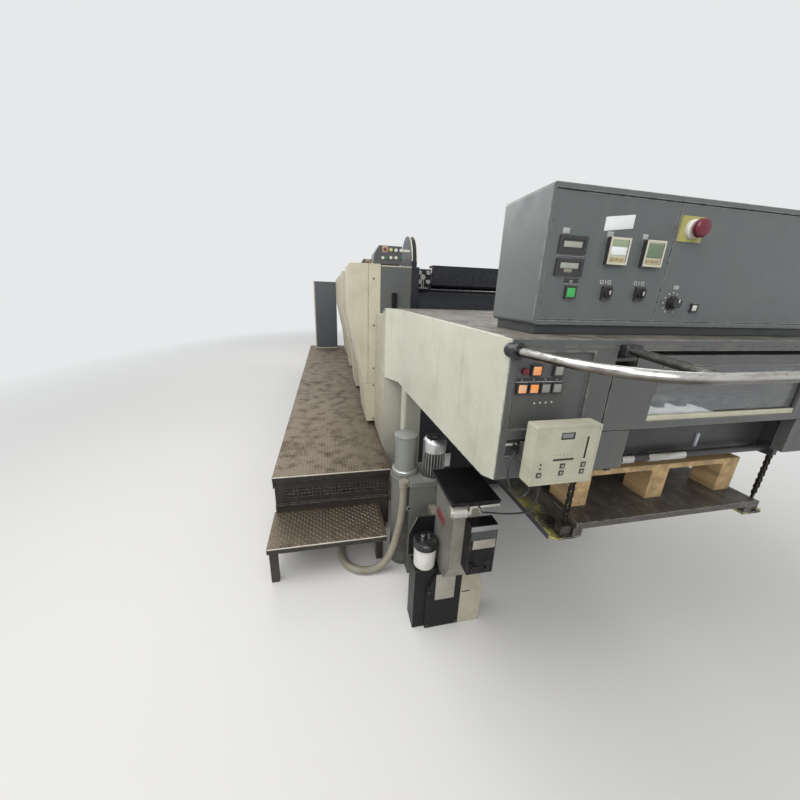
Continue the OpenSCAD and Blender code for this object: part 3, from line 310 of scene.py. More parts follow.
def paint(name, base, dirt=(0.05, 0.042, 0.03), grime=0.5, rough=0.42, chip=(0.03, 0.03, 0.035),
          wear=0.35, runs=0.4, low=0.0, specks=1.0, shine=0.5):
    """Stoved paint: patchy base, grime in clouds and runs, specks, chipped edges, and floor dirt below."""
    f = Finish(name, rough, Specular_IOR_Level=shine)
    soiled = tuple(0.45 * c + 0.55 * d for c, d in zip(base, dirt))
    colour = f.spread(base, tuple(c * 0.88 for c in base), 2.2, 3, 0.3, 0.75)
    colour = f.spread(colour, soiled, 5.5, 9, 0.50, 0.80, grime, rough=0.72)
    colour = f.spread(colour, soiled, 24, 5, 0.57, 0.8, runs, stretch=(1, 1, 0.06))
    colour = f.spread(colour, dirt, 150, 3, 0.67, 0.73, specks * grime)
    if low:
        near = f.ramp(f.axis(2), 0.0, 0.75, 1, 0)
        rising = f.sum("MULTIPLY", near, f.ramp(f.noise(9, 8, rough=0.7), 0.3, 0.62, 0.25, 1))
        colour = f.mix(f.sum("MULTIPLY", rising, low), colour, dirt)
    colour = f.spread(colour, chip, 60, 4, 0.70, 0.73, 0.5 * wear, stretch=(1, 1, 9))
    colour = f.rub(colour, chip, 14 * wear)
    f.bump(f.noise(900, 2), 0.0002, 0.25)
    return f.done(colour, f.ramp(f.noise(18, 4), 0.3, 0.8, rough - 0.08, rough + 0.18))


def rounded(node, width, finishes, choose=None, reshape=None, crease=35):
    """Merged copy of a CAD node with its edges rounded by a bevel of width millimetres.
    choose(x, y, z, n) numbers each face's finish from its centre in press millimetres and its normal,
    and reshape(x, y, z) gives the copy's points new places."""
    bm = bmesh.new()
    bm.from_mesh(nodes[node].data)
    bmesh.ops.remove_doubles(bm, verts=bm.verts, dist=2e-5)
    bmesh.ops.dissolve_limit(bm, angle_limit=0.01, verts=bm.verts, edges=bm.edges)
    mesh = bpy.data.meshes.new(node)
    bm.verts.index_update()
    points = np.array([v.co[:] for v in bm.verts])
    mesh.from_pydata(points.tolist(), [], [[v.index for v in f.verts] for f in bm.faces])
    bm.free()
    if choose:
        middle, normal = np.empty(len(mesh.polygons) * 3), np.empty(len(mesh.polygons) * 3)
        mesh.polygons.foreach_get("center", middle)
        mesh.polygons.foreach_get("normal", normal)
        x, y, z = (middle.reshape(-1, 3) * 1000 + PRESS_MID).T
        kind = np.broadcast_to(choose(x, y, z, normal.reshape(-1, 3)), len(mesh.polygons))
        mesh.polygons.foreach_set("material_index", kind.astype(np.int32))
    if reshape:
        points = np.stack(reshape(*(points * 1000 + PRESS_MID).T), axis=1)
        mesh.vertices.foreach_set("co", at(points).ravel())
        mesh.update()
    bevel = width / 1000 if width else None
    made = finish_mesh(f"{node}_skin", mesh, finishes, body_of_node[node], bevel, crease)
    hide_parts(node)
    return made


def turned(profile, centre, axis=(0, -1, 0), sides=18):
    """Lathe: each (radius, height) of the profile is a circle square to the axis through the centre."""
    axis = np.array(axis, float)
    u = np.cross(axis, (0.35, 0.25, 0.9))
    u /= np.linalg.norm(u)
    r, h = np.array(profile, float).T[:, :, None, None] / 1000
    a = np.linspace(0, 2 * np.pi, sides, endpoint=False)[None, :, None]
    points = at(centre)[0] + h * axis + r * (np.cos(a) * u + np.sin(a) * np.cross(axis, u))
    return points.reshape(-1, 3), net(len(profile), sides, True)


def unit_depth(y):
    """Distance behind the front of the printing unit that a point belongs to."""
    return (y - UNIT_FRONTS[0]) % UNIT_PITCH


cream = paint("cream enamel", CREAM, grime=0.5)
gunmetal = plastic("blackened screw steel", (0.03, 0.03, 0.032), 0.35, dirt=(0.12, 0.10, 0.07))
for unit in (1, 2, 3, 4):
    rounded(f"unit_{unit}_cover", 2.5, [cream])
SCREW_HEAD = ((0, -1), (7, -1), (7, 2.5), (5.8, 4), (3.2, 4), (3, 1.2), (0, 1.2))
piece("cover_screws", [turned(SCREW_HEAD, (x, y, z)) for y in UNIT_FRONTS for x, z in COVER_SCREWS],
      [gunmetal])

# Unit faces and grab handles
# Dark grey front plates of the printing units, under a cream trim. A moulded black grab handle is
# screwed to each of them.
GREY = (0.088, 0.093, 0.089)
TRIM_LOW, TRIM_HIGH = (-799, 1, 1738), (-560, 8, 1746.5)


def case(low, high, r, n=3):
    """Rounded box: the points of a ball of radius r, each quarter pushed out to its own inner corner."""
    low, high, r = at(low)[0] + r / 1000, at(high)[0] - r / 1000, r / 1000
    quarter = np.repeat(np.arange(4), n + 1)
    a = (quarter + np.tile(np.linspace(0, 1, n + 1), 4)) * np.pi / 2
    b = np.r_[np.linspace(-np.pi / 2, 0, n + 1), np.linspace(0, np.pi / 2, n + 1)][:, None]
    east, north, above = (quarter + 1) % 4 < 2, quarter < 2, np.repeat([False, True], n + 1)[:, None]
    rings = np.stack(np.broadcast_arrays(
        np.where(east, high[0], low[0]) + r * np.cos(b) * np.cos(a),
        np.where(north, high[1], low[1]) + r * np.cos(b) * np.sin(a),
        np.where(above, high[2], low[2]) + r * np.sin(b),
    ), axis=-1)
    caps = np.broadcast_to((rings[[0, -1]].min(axis=1, keepdims=True) + rings[[0, -1]].max(axis=1, keepdims=True)) / 2,
                           (2, len(a), 3))
    points = np.concatenate([caps[:1], rings, caps[1:]])
    return points.reshape(-1, 3), net(len(points), len(a), True)


def cases(rows):
    """A case for each row of two corners, the radius of its edges and the number of its finish."""
    return [(*case(low, high, r), kind) for low, high, r, kind in rows]


grey = paint("grey enamel", GREY, dirt=(0.035, 0.03, 0.024), grime=0.5, chip=(0.33, 0.32, 0.28))
rounded("unit_faces", 2, [grey])
trims = [case(TRIM_LOW + np.array((0, y, 0)), TRIM_HIGH + np.array((0, y, 0)), 1.5) for y in UNIT_FRONTS]
piece("unit_face_trims", trims, [cream])
rounded("grab_handles", 5, [plastic("grab handle", (0.006, 0.006, 0.008), 0.25, grime=0.1, Specular_IOR_Level=0.35)],
        reshape=lambda x, y, z: (x + 18, y, np.where(z > 1450, z + 33, z)))

# Side frames, cylinders and rollers
# Heavy cast side frames carry ground steel cylinders, their rubber blankets and the inked rollers.
# All of them turn on shafts between the frames.


def metal(name, base, rough=0.3, dirt=(0.03, 0.024, 0.018), grime=0.4, brushed=(1, 1, 1), rust=0.0, low=0.0):
    """Bare metal: fine brushing along one axis, smears of grease, rust spots, and floor dirt below."""
    f = Finish(name, rough, 1.0)
    lines = f.noise(220, 3, brushed)
    colour = f.mix(f.ramp(lines, 0.3, 0.7), base, tuple(c * 0.8 for c in base))
    smear = f.ramp(f.noise(9, 8, rough=0.68), 0.47, 0.75, 0, grime)
    colour = f.mix(smear, colour, dirt)
    if rust:
        colour = f.spread(colour, (0.14, 0.06, 0.025), 85, 6, 0.60, 0.68, rust)
    if low:
        rising = f.sum("MULTIPLY", f.ramp(f.axis(2), 0, 0.7, low, 0), f.ramp(f.noise(8, 8), 0.3, 0.65, 0.3, 1))
        colour = f.mix(rising, colour, (0.075, 0.06, 0.042))
    f.bump(lines, 0.0002, 0.2)
    return f.done(colour, f.sum("ADD", f.ramp(lines, 0.2, 0.8, rough, rough + 0.12), f.sum("MULTIPLY", smear, 0.5)))


dark = paint("dark casting enamel", (0.016, 0.018, 0.023), grime=0.35, rough=0.34, chip=(0.15, 0.145, 0.13), wear=0.2,
             shine=0.3)
steel = metal("ground steel", (0.52, 0.53, 0.54), 0.22, brushed=(0.02, 1, 1))
rubber = plastic("blanket rubber", (0.06, 0.11, 0.15), 0.5, grime=0.5)
inked = plastic("inked rollers", (0.02, 0.02, 0.024), 0.22, dirt=(0.08, 0.02, 0.05))
for node, edge, finish in (("frames_left", 3, dark), ("frames_right", 3, dark), ("plate_cylinders", 0, steel),
                           ("blanket_cylinders", 0, rubber), ("ink_rollers", 0, inked), ("ink_fountains", 1.5, steel)):
    rounded(node, edge, [finish])

# Consoles on the units
# Sheet metal boxes on top of the units' frames, with two rows of push buttons. Each has one red
# stop button on a tan plate.
BUTTONS_Z, PANEL_DEPTH = 1835, 11.8


def console_finish(x, y, z, n):
    """The case is 0. In the top row come red 1, yellow 2 and white 3, in the lower one white and green 4."""
    top = np.select([x < -748, x < -706], [1, 2], 3)
    lower = np.select([x < -770, x < -740, x < -668], [3, 4, 3], 4)
    return np.where(unit_depth(y) < PANEL_DEPTH, np.where(z > BUTTONS_Z, top, lower), 0)


button_enamel = [plastic(f"{name} button", colour, 0.3, grime=0.35) for name, colour in (
    ("red", (0.14, 0.012, 0.016)), ("yellow", (0.50, 0.47, 0.12)), ("white", (0.56, 0.57, 0.5)),
    ("green", (0.03, 0.11, 0.045)))]
console_grey = paint("console enamel", (0.05, 0.052, 0.052), dirt=(0.16, 0.15, 0.12), grime=0.35, wear=0.3)
rounded("consoles", 3, [console_grey, *button_enamel], console_finish,
        lambda x, y, z: (np.where(x > -640, -579, x), y, z))
piece("stop_button_plates", [case((-788, y + 9.6, 1836), (-746, y + 12.4, 1879), 1) for y in UNIT_FRONTS],
      [plastic("tan plate", (0.40, 0.30, 0.21), 0.5, grime=0.5)])

# Roller hoods
# Pressed steel rings over the ends of the inking rollers: dark side discs, and two cream bands
# with a dark slot between them.
HOOD_AXIS = (216, 1789)
HOOD_RIM = 190


def hood_finish(x, y, z, n):
    """Cream 1 on the outer bands, farther than HOOD_RIM from the axis and above it, and dark 0 elsewhere."""
    far = np.hypot(unit_depth(y) - HOOD_AXIS[0], z - HOOD_AXIS[1]) > HOOD_RIM
    return ((np.abs(n[:, 0]) < 0.5) & far & (z > HOOD_AXIS[1])).astype(int)


def slim(x, y, z):
    """The hoods stand farther in and are less than half as wide as in the solid."""
    return x.min() + 75 + 0.42 * (x - x.min()), y, z


rounded("roller_hoods", 1, [dark, cream], hood_finish, slim)

# Inker panels and guards
# A ribbed dark cover across each inker, setting levers beside it, and the hinged plate guards.
# Footboards of tread plate lie between the units, and closed cream covers shut the drive side.


def lever_finish(x, y, z, n):
    """Bright metal 1 for the levers and knobs in front of the left panel, dark 0 for the panels."""
    return ((x < -362) & (unit_depth(y) < 149)).astype(int)


lever_metal = metal("worn lever metal", (0.36, 0.36, 0.35), 0.35, grime=0.5)
rounded("inker_panels", 1.2, [dark, lever_metal], lever_finish)
tread = metal("worn tread plate", (0.19, 0.155, 0.115), 0.45, grime=0.75, rust=0.35, low=0.5)
for node, edge, finish in (("rear_guards", 2, dark), ("unit_4_guard", 2, dark), ("footboards", 2, tread),
                           ("drive_covers", 2.5, cream)):
    rounded(node, edge, [finish])

# Delivery's side panels and top
# Large folded sheets in a paler enamel, with a worn brown top between them. Dark screws hold them
# along the narrow fold at the front.
PANEL = (0.53, 0.53, 0.435)
END_GREY = (0.088, 0.092, 0.088)
FOLD_SCREWS = ((-767.5, 58, 1376), (-767.5, 68, 1261), (-767.5, 60, 1182))


def to_corner(x, y, z):
    """The fold at the front stands 5 mm proud and ends at the very corner, and the end face stops
    at 1066. The end face's panels and the top reach out to the fold, and so does the sunk panel."""
    out = np.abs(x)
    low = (y < 41) & (z < 1066)
    wide = np.interp(out, (731, 733, 735, 737, 739, 745, 766), (743, 744.5, 746, 760, 763.5, 767, 766))
    wide = np.where(out > 730, np.where((out > 765) & (np.abs(y - 60) < 1), 771, wide), out)
    wide = np.where(np.abs(wide - 365) < 1, 340, wide)
    return np.sign(x) * np.where(out < 767, wide, out), y, np.where(low, 1066, z)


pale = paint("pale enamel", PANEL, grime=0.6, dirt=(0.09, 0.07, 0.045), runs=0.5)
for name in ("side_panel_left", "side_panel_right"):
    rounded(name, 2.5, [pale], reshape=to_corner)
piece("fold_screws", [turned(((0, -6), (4, -6), (4, 0.6), (2, 1), (1.8, -1), (0, -1)), (s * x, y, z), (-s, 0, 0), 10)
                      for s in (1, -1) for x, y, z in FOLD_SCREWS], [gunmetal])
end_grey = paint("end face enamel", END_GREY, dirt=(0.2, 0.18, 0.14), grime=0.35, chip=(0.34, 0.32, 0.28),
                 wear=0.3, runs=0.25)


def worn_top(name, pale=(0.17, 0.155, 0.13), deep=(0.055, 0.046, 0.038), dust=(0.30, 0.28, 0.24)):
    """Brown grey paint under dried ink and dust: broad blotches, smaller spots, and scratches along the press."""
    f = Finish(name, 0.5)
    colour = f.spread(pale, deep, 5, 8, 0.38, 0.66, rough=0.75)
    colour = f.spread(colour, dust, 34, 6, 0.5, 0.72, 0.8, stretch=(1, 0.5, 1), rough=0.7)
    colour = f.spread(colour, (0.4, 0.38, 0.34), 60, 4, 0.66, 0.71, 0.4, stretch=(9, 1, 1))
    f.bump(f.noise(60, 4), 0.0004, 0.4)
    return f.done(f.rub(colour, (0.4, 0.38, 0.33), 7), f.ramp(f.noise(14, 6), 0.35, 0.7, 0.3, 0.6))


floor_brown = worn_top("worn brown top")
rounded("delivery_top", 2, [floor_brown, end_grey], lambda x, y, z, n: (y < 1).astype(int), to_corner)

# End face
# Dark grey panels round the guard. A sunk panel on the left holds square push buttons with a
# numbered strip, and a cut-out below it lets the controller's cable through.
BUTTONS = {
    "amber": ((-685.7, 1328), (-685.7, 1375)), "pale amber": ((-719.5, 1328),),
    "grey": ((-651.9, 1328), (-618.1, 1328), (-621.5, 1374)),
}
BUTTON_PITCH, STRIP_Z = 33.8, 1350
rounded("front_frame", 2, [end_grey], reshape=to_corner)
rounded("end_panels", 1.2, [end_grey], reshape=to_corner)


def button_finish(x, y, z, n):
    """Red 1 for the round stop button, black 0 for the square frames."""
    return ((np.abs(x + 716.5) < 9.5) & (np.abs(z - 1373) < 9.5)).astype(int)


frame_black = plastic("button frames", (0.025, 0.025, 0.027), 0.4, dirt=(0.12, 0.11, 0.09))
crimson = plastic("crimson button", (0.13, 0.009, 0.022), 0.22, grime=0.3)
rounded("button_panel", 0.8, [frame_black, crimson], button_finish)


def lamp_lens(name, rim, middle, glow):
    """Lit lens: it glows in its middle colour, and the noise of its moulding mixes its rim colour with that middle
    colour.
    """
    f = Finish(name, 0.3, Emission_Color=(*middle, 1), Emission_Strength=glow)
    return f.done(f.spread(rim, middle, 55, 2, 0.4, 0.6))


cap_grey = plastic("grey button caps", (0.27, 0.28, 0.25), 0.35, grime=0.4)
caps = cases(((x - 11, -4.5, z - 11), (x + 11, 0, z + 11), 2.2, number)
             for number, places in enumerate(BUTTONS.values()) for x, z in places)
piece("button_caps", caps, [lamp_lens("lit amber lens", (0.68, 0.36, 0.20), (0.85, 0.27, 0.04), 0.22),
                            lamp_lens("pale amber lens", (0.62, 0.42, 0.28), (0.80, 0.38, 0.16), 0.12), cap_grey])


def figure(text, size, x, y, z):
    """Raised figure: Blender's own letters, size high, filled and turned to face the end."""
    curve = bpy.data.curves.new("figure", "FONT")
    curve.body, curve.size, curve.extrude = text, size / 1000, 0.0002
    made = bpy.data.objects.new("figure", curve)
    bpy.context.collection.objects.link(made)
    mesh = bpy.data.meshes.new_from_object(made.evaluated_get(bpy.context.evaluated_depsgraph_get()))
    bpy.data.objects.remove(made)
    flat = np.empty(len(mesh.vertices) * 3)
    mesh.vertices.foreach_get("co", flat)
    flat = flat.reshape(-1, 3)
    points = at((x, y, z))[0] + np.stack([flat[:, 0], -flat[:, 2], flat[:, 1]], axis=1)
    return points, [list(f.vertices) for f in mesh.polygons]


print_white = plastic("printed white", (0.62, 0.61, 0.55), 0.5, grime=0.5)
marks = cases((((-734, 6.6, STRIP_Z - 4.5), (-600, 8.3, STRIP_Z + 5), 0.4, 0),
               ((-736, 6.2, STRIP_Z - 6.5), (-600, 8.3, STRIP_Z - 4.8), 0.4, 1)))
marks += [(*figure(str(i + 1), 9, -722 + BUTTON_PITCH * i, 6.3, STRIP_Z - 3), 1) for i in range(4)]
marks += [(*turned(((0, -1), (2.8, -1), (2.8, 0.6), (0, 1)), (x, 8, z), sides=10), 1)
          for x, z in ((-672, 1285), (-655.5, 1286), (-638, 1286), (-620.5, 1287))]
marks += cases(((-744, 12, z), (x, 19, z + 7), 2, 1) for x, z in ((-700, 1161), (-722, 1128)))
piece("end_face_marks", marks, [frame_black, print_white])

# End guard
# Grey cast flap with a window of clear plastic, held by a pale sill strip. It hangs from two pins
# and swings out.
SILL = 1217


def lower_sill(x, y, z):
    """The window reaches 11 mm lower than in the solid, down to its pale sill."""
    return x, y, np.where((np.abs(z - 1228) < 1) & (np.abs(x) < 320), SILL, z)


rounded("guard", 3, [end_grey], reshape=lower_sill)
window = Finish("clear plastic window", 0.06, Transmission_Weight=1.0, IOR=1.46, Alpha=0.55).done((0.84, 0.90, 0.92))
rounded("guard_window", 0, [window], reshape=lower_sill)
piece("window_strip", [case((-297, 2, SILL), (297, 7.6, SILL + 17), 1.2)],
      [plastic("window sill", (0.50, 0.49, 0.36), 0.4, grime=0.6)], body_of_node["guard_window"])

# Handrail
# Bent chromed tube, pitted and dull. Black clamps hold it at both ends, and two struts come from
# black blocks on the end face.


def chromed(name, level=None):
    """Dull chrome: dark streaks drawn out along x, rust pits, and painted shade: a dark stripe on the underside below
    the tube's level.
    """
    f = Finish(name, 0.16, 1.0)
    colour = f.spread((0.60, 0.59, 0.56), (0.15, 0.12, 0.09), 26, 6, 0.44, 0.68, 0.75, stretch=(0.12, 1, 1), rough=0.7)
    if level:
        # Painted shade: below the tube's axis the chrome turns dark brown, broken up by a noise.
        below = f.ramp(f.axis(2), level - 0.005, level + 0.002, 1, 0)
        band = f.sum("MULTIPLY", below, f.ramp(f.noise(7, 4, (1, 0.3, 1)), 0.36, 0.58, 0.7, 1))
        colour = f.mix(band, colour, (0.075, 0.06, 0.042))
    colour = f.spread(colour, (0.16, 0.07, 0.03), 110, 6, 0.62, 0.69, 0.4)
    return f.done(colour, f.ramp(f.noise(40, 4, (0.2, 1, 1)), 0.35, 0.7, 0.13, 0.34))


RAIL_END, RAIL_AXIS = (761, 0, 1428), (0.228, -0.974, 0)
# The handrail's underside, below its axis, is painted dark as shade.
rounded("handrail", 0, [chromed("pitted chrome", RAIL_END[2] / 1000)])
RAIL_CLAMP = ((0, -19), (9, -19), (15, -16.5), (18.2, -11), (19, -5), (18.4, 3), (16.5, 7), (16.2, 9), (19.6, 10.5),
              (21, 13), (21, 21), (19.5, 24), (12, 25), (11.4, 23), (0, 23))
clamps = [turned(RAIL_CLAMP, (-s * RAIL_END[0], *RAIL_END[1:]), (s * RAIL_AXIS[0], *RAIL_AXIS[1:]), 28)
          for s in (1, -1)]
clamps += [case((-452, -24, 1414), (-400, 0.5, 1443), 4), case((400, -24, 1414), (452, 0.5, 1443), 4)]
clamps = piece("rail_clamps", clamps, [plastic("black clamps", (0.011, 0.011, 0.012), 0.3, dirt=(0.07, 0.065, 0.06))])
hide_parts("rail_fittings")

# Control box
# Blue-grey sheet steel on a plinth. Its front panel carries counters, timers, switches, a dial and
# a stop button on a yellow plate.
BLUE_GREY = (0.110, 0.123, 0.122)
PLINTH_TOP = 1481
blue_grey = paint("blue grey enamel", BLUE_GREY, dirt=(0.24, 0.22, 0.18), grime=0.22, rough=0.36,
                  chip=(0.38, 0.37, 0.33), wear=0.5, runs=0.2)
plinth = paint("dark plinth enamel", (0.032, 0.037, 0.039), dirt=(0.12, 0.11, 0.09), grime=0.3)
rounded("control_box", 2.5, [blue_grey, plinth], lambda x, y, z, n: (z < PLINTH_TOP).astype(int))


def instrument_finish(x, y, z, n):
    """Panel 0; black counters, selectors and dial 1; ivory timers 2 on black cases; yellow plate 3; stop button 4."""
    def inside(x0, x1, z0, z1):
        return (x > x0) & (x < x1) & (z > z0) & (z < z1) & (y < 101.9)
    black = inside(-614, -529, 1609, 1708) | inside(-573, -537, 1551, 1587) | inside(-456, -424, 1551, 1591)
    black |= inside(-345, -313, 1552, 1592) | inside(-224, -182, 1529, 1571)
    timers = inside(-469, -403, 1642, 1711) | inside(-353, -287, 1642, 1711)
    black |= timers & (n[:, 1] > -0.5) | inside(-130, -102, 1524, 1552)
    plate = inside(-246, -164, 1713, 1779)
    return np.select([black, timers, plate & (y > 97.5), plate], [1, 2, 3, 4], 0)


ivory = plastic("ivory plastic", (0.55, 0.53, 0.42), 0.42, grime=0.4)
mustard = plastic("mustard plate", (0.40, 0.38, 0.12), 0.45, grime=0.5)
rounded("control_panel", 0.8, [blue_grey, frame_black, ivory, mustard, crimson], instrument_finish)
COUNTER_X, TIMER_X = (-599, -545), (-461, -345)
displays = cases((
    ((COUNTER_X[0], 96.6, 1628), (COUNTER_X[1], 99, 1642), 0.6, 0),
    ((COUNTER_X[0], 96.6, 1679), (COUNTER_X[1], 99, 1693), 0.6, 0),
    ((-587, 95.8, 1618), (-563, 99, 1627), 0.8, 8),
    ((TIMER_X[0], 88.5, 1687), (TIMER_X[0] + 49, 91, 1704), 0.5, 1),
    ((TIMER_X[0], 88.4, 1667), (TIMER_X[0] + 49, 91, 1687), 0.5, 2),
    ((TIMER_X[1], 88.5, 1666), (TIMER_X[1] + 49, 91, 1701), 0.5, 3),
    ((-567, 92.5, 1556), (-543, 97, 1580), 1.5, 4),
    ((-124, 96, 1530), (-108, 99, 1546), 1, 6),
    ((-577, 101, 1592), (-533, 102.4, 1604), 0.4, 7),
))
displays += cases(((x + 2 + 15.5 * i, 88.2, z), (x + 14.5 + 15.5 * i, 91, z + 7), 0.8, 5)
                  for x in TIMER_X for i in range(3) for z in (1645, 1654))
tags = cases(((x, 101, z), (x + wide, 102.3, z + high), 0.3, 9) for x, z, wide, high in (
    (-606, 1711, 20, 13), (-472, 1711, 20, 13), (-358, 1712, 17, 13), (-208, 1588, 18, 11), (-612, 1658, 82, 1.2),
    (-577, 1590, 44, 1.2)))
tags += [(*figure("O", 10, -560, 100.8, 1593), 6), (*figure("O I O", 15, -464, 101.8, 1594), 6),
         (*figure("O I O", 15, -352, 101.8, 1595), 6)]
tags += [(*turned(((0, -1), (25, -1), (25, 5), (21, 10), (0, 10)), (-205, 97, 1746), sides=24), 6)]
note, quads = case((-485, 101, 1724), (-397, 102.3, 1757), 0.3)
note[:, 2] += 0.13 * (note[:, 0] - note[:, 0].min())
ticks = [(*turned(((0, -1), (2.1, -1), (2.1, 0.5), (0, 0.8)), (-203 + 29 * np.cos(a), 102, 1550 + 29 * np.sin(a)),
                  sides=8), 6) for a in np.radians(np.linspace(-60, 240, 11))]
pointers = cases(((x, 76.5, z), (x + 2.4, 79, z + 11), 0.6, 6) for x, z in ((-447, 1566), (-336, 1567), (-204, 1551)))
piece("instrument_faces", displays + tags + ticks + pointers + [(note, quads, 2)], [
    plastic("counter display", (0.33, 0.34, 0.29), 0.2, grime=0.25),
    plastic("pale green display", (0.28, 0.34, 0.22), 0.2, grime=0.3),
    plastic("white display", (0.74, 0.77, 0.76), 0.25, grime=0.12),
    plastic("green display", (0.14, 0.20, 0.12), 0.18, grime=0.3),
    lamp_lens("lit green lens", (0.05, 0.30, 0.08), (0.045, 0.38, 0.085), 0.09),
    plastic("gilt keys", (0.38, 0.30, 0.14), 0.4, dirt=(0.04, 0.03, 0.02), grime=0.9),
    print_white, frame_black, plastic("counter key", (0.24, 0.22, 0.17), 0.4),
    plastic("grey print", (0.38, 0.39, 0.37), 0.5, grime=0.6, specks=0.6),
])

# Small controller
# Moulded cream case below the end panel: a display, two slots, five keys and two lamps, with a
# cable gland for each of its two cables.
CONTROLLER = np.array((-721, -90, 1097))
KEYS = ((26, 29), (90, 31), (90, 51), (151, 31), (151, 51))


def controller_finish(x, y, z, n):
    """Case 0; black 1 for keys, glands and lamps; brown 2 for the slots; grey 3 for the bracket behind."""
    x, y, z = x - CONTROLLER[0], y - CONTROLLER[1], z - CONTROLLER[2]
    key = np.zeros(len(x), bool)
    for kx, kz in KEYS:
        key |= (np.abs(x - kx) < 7.5) & (np.abs(z - kz) < 7.5) & (y < 1.9)
    slots = (x > 59) & (x < 154) & (z > 65) & (z < 144) & (y > 2.1) & (y < 7)
    lamp = (np.abs(x - 27) < 3) & (z > 44) & (z < 62) & (y < 1.9)
    return np.select([key | lamp | (z < -0.5), slots, (y > 43) & (x < 72)], [1, 2, 3], 0)


beige = plastic("beige case", (0.43, 0.425, 0.325), 0.42, dirt=(0.12, 0.10, 0.06), grime=0.6, specks=0.3)
brown = plastic("slider slots", (0.085, 0.075, 0.055), 0.5)
rounded("controller", 0.8, [beige, frame_black, brown, end_grey], controller_finish)
keys = cases((CONTROLLER + low, CONTROLLER + high, r, kind) for low, high, r, kind in (
    *(((x - 3.6, -0.4, z - 3.6), (x + 3.6, 1.2, z + 3.6), 0.8, 0) for x, z in KEYS),
    ((71.5, 2.8, 124.5), (109.5, 4.4, 142.5), 0.4, 1), ((75, 2.2, 128), (105, 4, 140), 0.5, 2)))
keys += [(*turned(((0, -1), (1.2, -1), (1.2, 0.3), (0, 0.4)), CONTROLLER + (x, 2, z), sides=8), 1)
         for x, z in [(139, 72 + 14 * i) for i in range(5)] + [(66 + 11 * i, 82) for i in range(5)]]
piece("controller_keys", keys, [plastic("key tops", (0.30, 0.29, 0.24), 0.4), frame_black,
                                plastic("small display", (0.19, 0.20, 0.20), 0.2)])

# Pile hoist
# Two carrying plates hang from roller chains. Near the front their yellow paint has flaked off a
# grey one, and grease has run down from the chains. A rimmed platform lies across them.
CAUTION, UNDERCOAT = (0.56, 0.52, 0.12), (0.21, 0.21, 0.17)
CHAIN_X, CHAIN_Y = 428, (75, 785)
LIP_LOW = 754


def flaking(name):
    """Yellow over blue-grey: a noise decides where the top coat is left, and a bump raises the coat at each flake's
    edge.
    """
    f = Finish(name, 0.5)
    left = f.noise(13, 10, rough=0.78)
    coat = f.spread(CAUTION, tuple(0.7 * c for c in CAUTION), 40, 5, 0.4, 0.7)
    under = f.spread(UNDERCOAT, (0.035, 0.034, 0.03), 26, 8, 0.35, 0.7, rough=0.72)
    front = f.ramp(f.axis(1), -3.74, -3.55, 1, 0)
    colour = f.mix(f.sum("MULTIPLY", f.ramp(left, 0.48, 0.50), front), under, coat)
    outer = f.sum("ABSOLUTE", f.ramp(f.axis(0), -0.7185, 1.2815, -1, 1), 0)
    beside = f.sum("MULTIPLY", f.ramp(outer, 0.375, 0.405), f.ramp(outer, 0.445, 0.475, 1, 0))
    grease = f.sum("MULTIPLY", beside, f.ramp(f.noise(16, 8, rough=0.7), 0.30, 0.46))
    colour = f.mix(f.sum("MULTIPLY", grease, f.ramp(f.axis(1), -3.77, -3.72, 1, 0.3)), colour, (0.01, 0.009, 0.008))
    colour = f.spread(colour, (0.035, 0.03, 0.022), 7, 8, 0.54, 0.72, 0.8, rough=0.7)
    colour = f.rub(colour, (0.42, 0.40, 0.33), 8)
    f.bump(f.ramp(left, 0.48, 0.505), 0.0004, 0.6)
    return f.done(colour, f.ramp(f.noise(20, 4), 0.3, 0.7, 0.35, 0.65))


def arm_finish(x, y, z, n):
    """Plate 0; greasy black 1 for the chains' lugs; dark lip 2 down the outer side."""
    lug = (z > 777) & (np.abs(np.abs(x) - CHAIN_X) < 32)
    return np.select([lug, (np.abs(x) > 479) & (np.abs(n[:, 0]) > 0.5)], [1, 2], 0)


def thin_chain(x, y, z):
    """Each chain is drawn in to six tenths of its width round its own axis."""
    middle = np.where(y < 400, CHAIN_Y[0], CHAIN_Y[1])
    return np.sign(x) * (CHAIN_X + 0.6 * (np.abs(x) - CHAIN_X)), middle + 0.6 * (y - middle), z


grease = plastic("black grease", (0.012, 0.011, 0.010), 0.3, dirt=(0.12, 0.10, 0.06), grime=0.5, specks=0.5)
lip = paint("dark lip", (0.045, 0.043, 0.052), dirt=(0.16, 0.15, 0.12), grime=0.4, wear=0.4)
rounded("hoist_arms", 1.5, [flaking("flaking yellow paint"), grease, lip], arm_finish,
        lambda x, y, z: (x, y, np.where(z < LIP_LOW, LIP_LOW, z)))
dusty = worn_top("dusty platform", (0.085, 0.076, 0.064), (0.034, 0.029, 0.025), (0.15, 0.14, 0.125))
rounded("hoist_plate", 1.5, [dusty])
rounded("hoist_chains", 0, [metal("greasy chain steel", (0.075, 0.07, 0.062), 0.3, grime=0.75)], reshape=thin_chain)

# Pallet
# Nine blocks under three stringers and five boards of raw pine, nailed together. It stands loose
# on the platform and takes the pile of sheets.
WOOD = (0.68, 0.47, 0.235)
PALLET_TOP = 980


def pine(name, along, tone=1.0):
    """Pine: rings drawn out along one axis, a finer grain on them, and grey weathering in clouds."""
    f = Finish(name, 0.75)
    stretch = [0.05 if axis == along else 1 for axis in range(3)]
    rings = f.noise(34, 3, stretch)
    base = tuple(tone * c for c in WOOD)
    colour = f.mix(f.ramp(rings, 0.38, 0.62), base, tuple(0.62 * c for c in base))
    colour = f.spread(colour, tuple(0.5 * c for c in base), 260, 3, 0.45, 0.7, 0.5, stretch=stretch)
    colour = f.spread(colour, (0.16, 0.13, 0.10), 6, 7, 0.50, 0.78, 0.45, rough=0.7)
    f.bump(rings, 0.0008, 0.5)
    return f.done(colour, 0.72)


